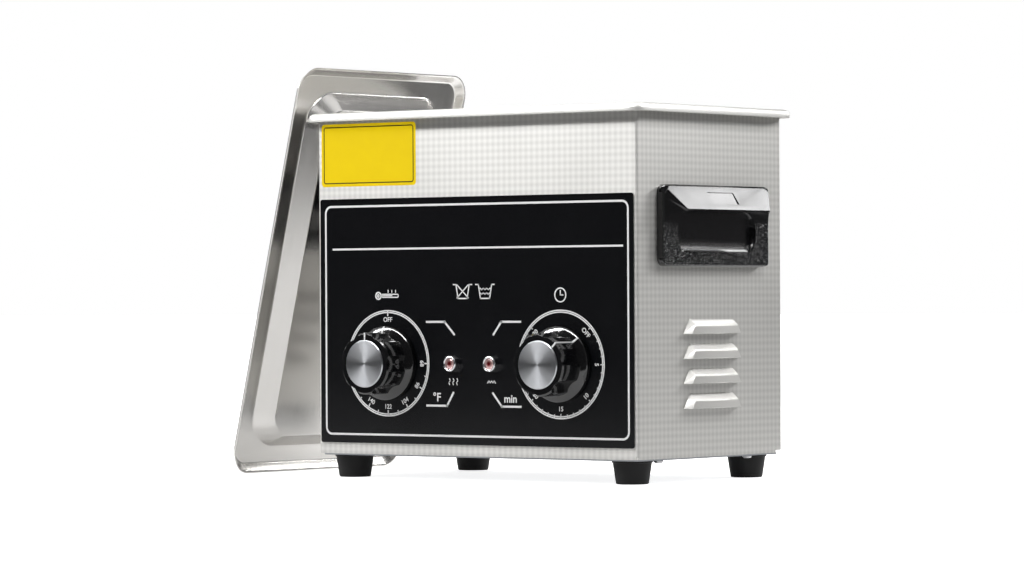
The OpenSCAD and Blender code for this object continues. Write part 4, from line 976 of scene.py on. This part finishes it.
def thermometer(bm, x, z):
    """A thermometer lying level: a bulb and a stem with three marks."""
    ring(bm, (x - 7.5, z), 2.6, 1.6, 32)
    ring(bm, (x - 7.5, z), 1.1, 0.05, 24)
    outline(bm, (x + 1.8, z), 14.2, 2.6, 1.2, FINE)
    polyline(bm, [(x - 7, z), (x + 3.4, z)], FINE)
    for mark_x in (x + 0.4, x + 3.4, x + 6.4):
        polyline(bm, [(mark_x, z + 2.2), (mark_x, z + 3.4)], THIN)


def clock(bm, x, z):
    """A clock face with two hands."""
    ring(bm, (x, z), 4.6, 3.8, 40)
    polyline(bm, [(x, z + 2.6), (x, z), (x + 1.9, z)], BOLD)


def heat(bm, x, z):
    """Three wavy lines that rise side by side."""
    for wave_x in (x - 3, x, x + 3):
        polyline(bm, [(wave_x, z), (wave_x - 0.6, z + 1.2), (wave_x + 0.6, z + 2.4),
                      (wave_x, z + 3.6)], THIN)


def ripples(bm, x, z):
    """Three small waves in a row."""
    for wave_x in (x - 3, x - 1, x + 1):
        polyline(bm, [(wave_x - 1, z), (wave_x, z + 1.4), (wave_x + 1, z)], THIN)


signs = bmesh.new()
tub(signs, -7.9, 101.8, False)
tub(signs, 9.7, 101.8, True)
thermometer(signs, -67.8, 99.3)
clock(signs, 67.8, 99.3)
heat(signs, -15.5, 44.2)
ripples(signs, 15.5, 45.4)
print_on(signs, "panel_signs", PANEL_FRONT)

# %% [markdown]
# A dial is a printed double ring with ticks inside it and figures inside the ticks. Angles run
# clockwise from the top, about the knob's own axis. Figures in the upper half stand with their
# heads outwards and those in the lower half with their heads to the middle, so that none is
# upside down.

# %% Dial tools
KNOB_LOW, KNOB_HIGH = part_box("timer_knob")
CONTROL_X = (KNOB_LOW.x + KNOB_HIGH.x) / 2 / MM
CONTROL_Z = ((KNOB_LOW.z + KNOB_HIGH.z) / 2 - LOWER_FOLD) / MM
DIAL_LINES = ((33.3, 32.5), (32.2, 31.4))
TICK_FROM = 32.3
TICK_ROOT = 31.4
FIGURE_RADIUS = 27.2
FIGURE_HEIGHT = 2.9
OFF_HEIGHT = 3.0
FIGURE_WEIGHT = 0.08
LOWER_HALF = (95, 265)


def polar(x, radius, degrees):
    """Point on a dial, clockwise from the top."""
    a = math.radians(degrees)
    return (x + radius * math.sin(a), CONTROL_Z + radius * math.cos(a))


def tick(bm, x, degrees, length, width):
    """A tick that starts in the ring and points to the middle."""
    polyline(bm, [polar(x, TICK_FROM, degrees), polar(x, TICK_ROOT - length, degrees)], width)


def figure(bm, x, words, degrees, height=FIGURE_HEIGHT):
    """A figure on the dial."""
    lower = LOWER_HALF[0] < degrees < LOWER_HALF[1]
    angle = -math.radians(degrees) + (math.pi if lower else 0)
    lettering(bm, words, polar(x, FIGURE_RADIUS, degrees), height, angle, FIGURE_WEIGHT)


def new_dial(x):
    """A drawing with a dial's double ring."""
    bm = bmesh.new()
    for outer, inner in DIAL_LINES:
        ring(bm, (x, CONTROL_Z), outer, inner)
    return bm


print("dials at", round(CONTROL_X, 1), "mm from the middle")

# %% [markdown]
# The temperature dial has OFF at the top and its figures from a quarter turn on, with a small tick
# halfway between two figures. The timer's dial starts at an eighth of a turn and has a tick for
# each minute, longer at every fifth. Both end at their highest figure, 270 degrees past OFF. A
# kind of tick is its length and its width.

# %% Dials
TEMPERATURES = (68, 86, 104, 122, 140, 158, 176)
TEMPERATURE_START = 90
TEMPERATURE_STEP = 30
TIMER_START = 45
MINUTE_STEP = 9
LAST_MINUTE = 30
FIGURE_EVERY = 5
OFF_TICK = (1.4, 0.9)
FIGURE_TICK = (1.7, 0.8)
HALF_TICK = (0.8, 0.7)
MINUTE_TICK = (0.4, 0.6)
FIFTH_TICK = (1.0, 0.6)

temperature_dial = new_dial(-CONTROL_X)
tick(temperature_dial, -CONTROL_X, 0, *OFF_TICK)
figure(temperature_dial, -CONTROL_X, "OFF", 0, OFF_HEIGHT)
for k, degrees_f in enumerate(TEMPERATURES):
    degrees = TEMPERATURE_START + TEMPERATURE_STEP * k
    tick(temperature_dial, -CONTROL_X, degrees, *FIGURE_TICK)
    figure(temperature_dial, -CONTROL_X, str(degrees_f), degrees)
    if k:
        tick(temperature_dial, -CONTROL_X, degrees - TEMPERATURE_STEP / 2, *HALF_TICK)
print_on(temperature_dial, "temperature_dial", PANEL_FRONT)

timer_dial = new_dial(CONTROL_X)
figure(timer_dial, CONTROL_X, "OFF", TIMER_START, OFF_HEIGHT)
for minute in range(LAST_MINUTE + 1):
    degrees = TIMER_START + MINUTE_STEP * minute
    fifth = minute % FIGURE_EVERY == 0
    tick(timer_dial, CONTROL_X, degrees, *(FIFTH_TICK if fifth else MINUTE_TICK))
    if minute and fifth:
        figure(timer_dial, CONTROL_X, str(minute), degrees)
print_on(timer_dial, "timer_dial", PANEL_FRONT)

# %% [markdown]
# Each knob carries a painted line: across its face from the cap to the edge, back along a ridge of
# the grip, and down the sloping skirt. It turns with its knob, so it rides on that body. The line
# is a slab along each leg of the knob's profile, half sunk so that it meets the surface all along.

# %% Pointer lines
CAP_EDGE = 15.1
GRIP_RADIUS = 19.2
GRIP_FRONT = 22.8
SKIRT_TOP = 5.9
SKIRT_KNEE = (22.1, 4.6)
SKIRT_END = (22.9, 3.8)
KNOB_PROFILE = ((CAP_EDGE, GRIP_FRONT), (GRIP_RADIUS, GRIP_FRONT), (GRIP_RADIUS, SKIRT_TOP),
                SKIRT_KNEE, SKIRT_END)
LINE_WIDTH = 1.1
PAINT = 0.1


def pointer(name, x, degrees, body):
    """The white line on a knob, drawn with the line along Y and the shaft along Z."""
    bm = bmesh.new()
    for (r0, z0), (r1, z1) in zip(KNOB_PROFILE, KNOB_PROFILE[1:]):
        a = Vector((0, r0, z0)) * MM
        b = Vector((0, r1, z1)) * MM
        run = b - a
        tilt = Matrix.Rotation(math.atan2(run.z, run.y), 4, "X")
        size = Matrix.Diagonal((LINE_WIDTH * MM, run.length + PAINT * MM, 2 * PAINT * MM, 1))
        bmesh.ops.create_cube(bm, size=1, matrix=Matrix.Translation((a + b) / 2) @ tilt @ size)
    turned = Matrix.Rotation(-math.radians(degrees), 4, "Z")
    place = Matrix.Translation(Vector((x, CONTROL_Z, 0)) * MM) @ turned
    bmesh.ops.transform(bm, matrix=place, verts=bm.verts)
    print_on(bm, name, PANEL_FRONT, body)


pointer("temperature_pointer", -CONTROL_X, 0, "temperature_control")
pointer("timer_pointer", CONTROL_X, TIMER_START, "timer_control")

# %% [markdown]
# The sticker at the upper left of the front is blank: yellow vinyl with a thin dark line round it.
# It lies on the sheet above the panel. The film is a raised field with rounded corners, and its
# line is an outline printed on top of it.

# %% Sticker
HOUSING_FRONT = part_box("housing")[0].y
STICKER_AT = (-83.6, 188.1)
STICKER_SIZE = (76.8, 39.6)
STICKER_RADIUS = 2.5
STICKER_STEPS = 6
STICKER_LINE = (73.2, 36.0, 1.8, 0.7)
VINYL_HAZE = 11.1 * MM


def vinyl(name, colour, other):
    """Printed vinyl film with a soft sheen."""
    material, shader = new_finish(name, Roughness=0.38, Specular_IOR_Level=0.15)
    place = add(material, "TexCoord")
    cover = add(material, "TexNoise", {"Vector": place.outputs["Object"], "Scale": 1 / VINYL_HAZE,
                                       "Detail": 3.0})
    tint = add(material, "Mix", {"Factor": cover.outputs["Fac"], "A": linear(colour),
                                 "B": linear(other)}, data_type="RGBA")
    feed(material, shader, Base_Color=tint.outputs["Result"])
    return material


film = rounded_field(*STICKER_SIZE, STICKER_RADIUS, STICKER_STEPS)
raise_ink(film)
bmesh.ops.translate(film, vec=Vector((*STICKER_AT, 0)) * MM, verts=film.verts)
print_on(film, "sticker", HOUSING_FRONT, ink=vinyl("sticker_yellow", "#f4d200", "#f9d900"))

edge_line = bmesh.new()
outline(edge_line, STICKER_AT, *STICKER_LINE)
print_on(edge_line, "sticker_line", HOUSING_FRONT - INK,
         ink=vinyl("sticker_dark", "#4a4010", "#554a14"))
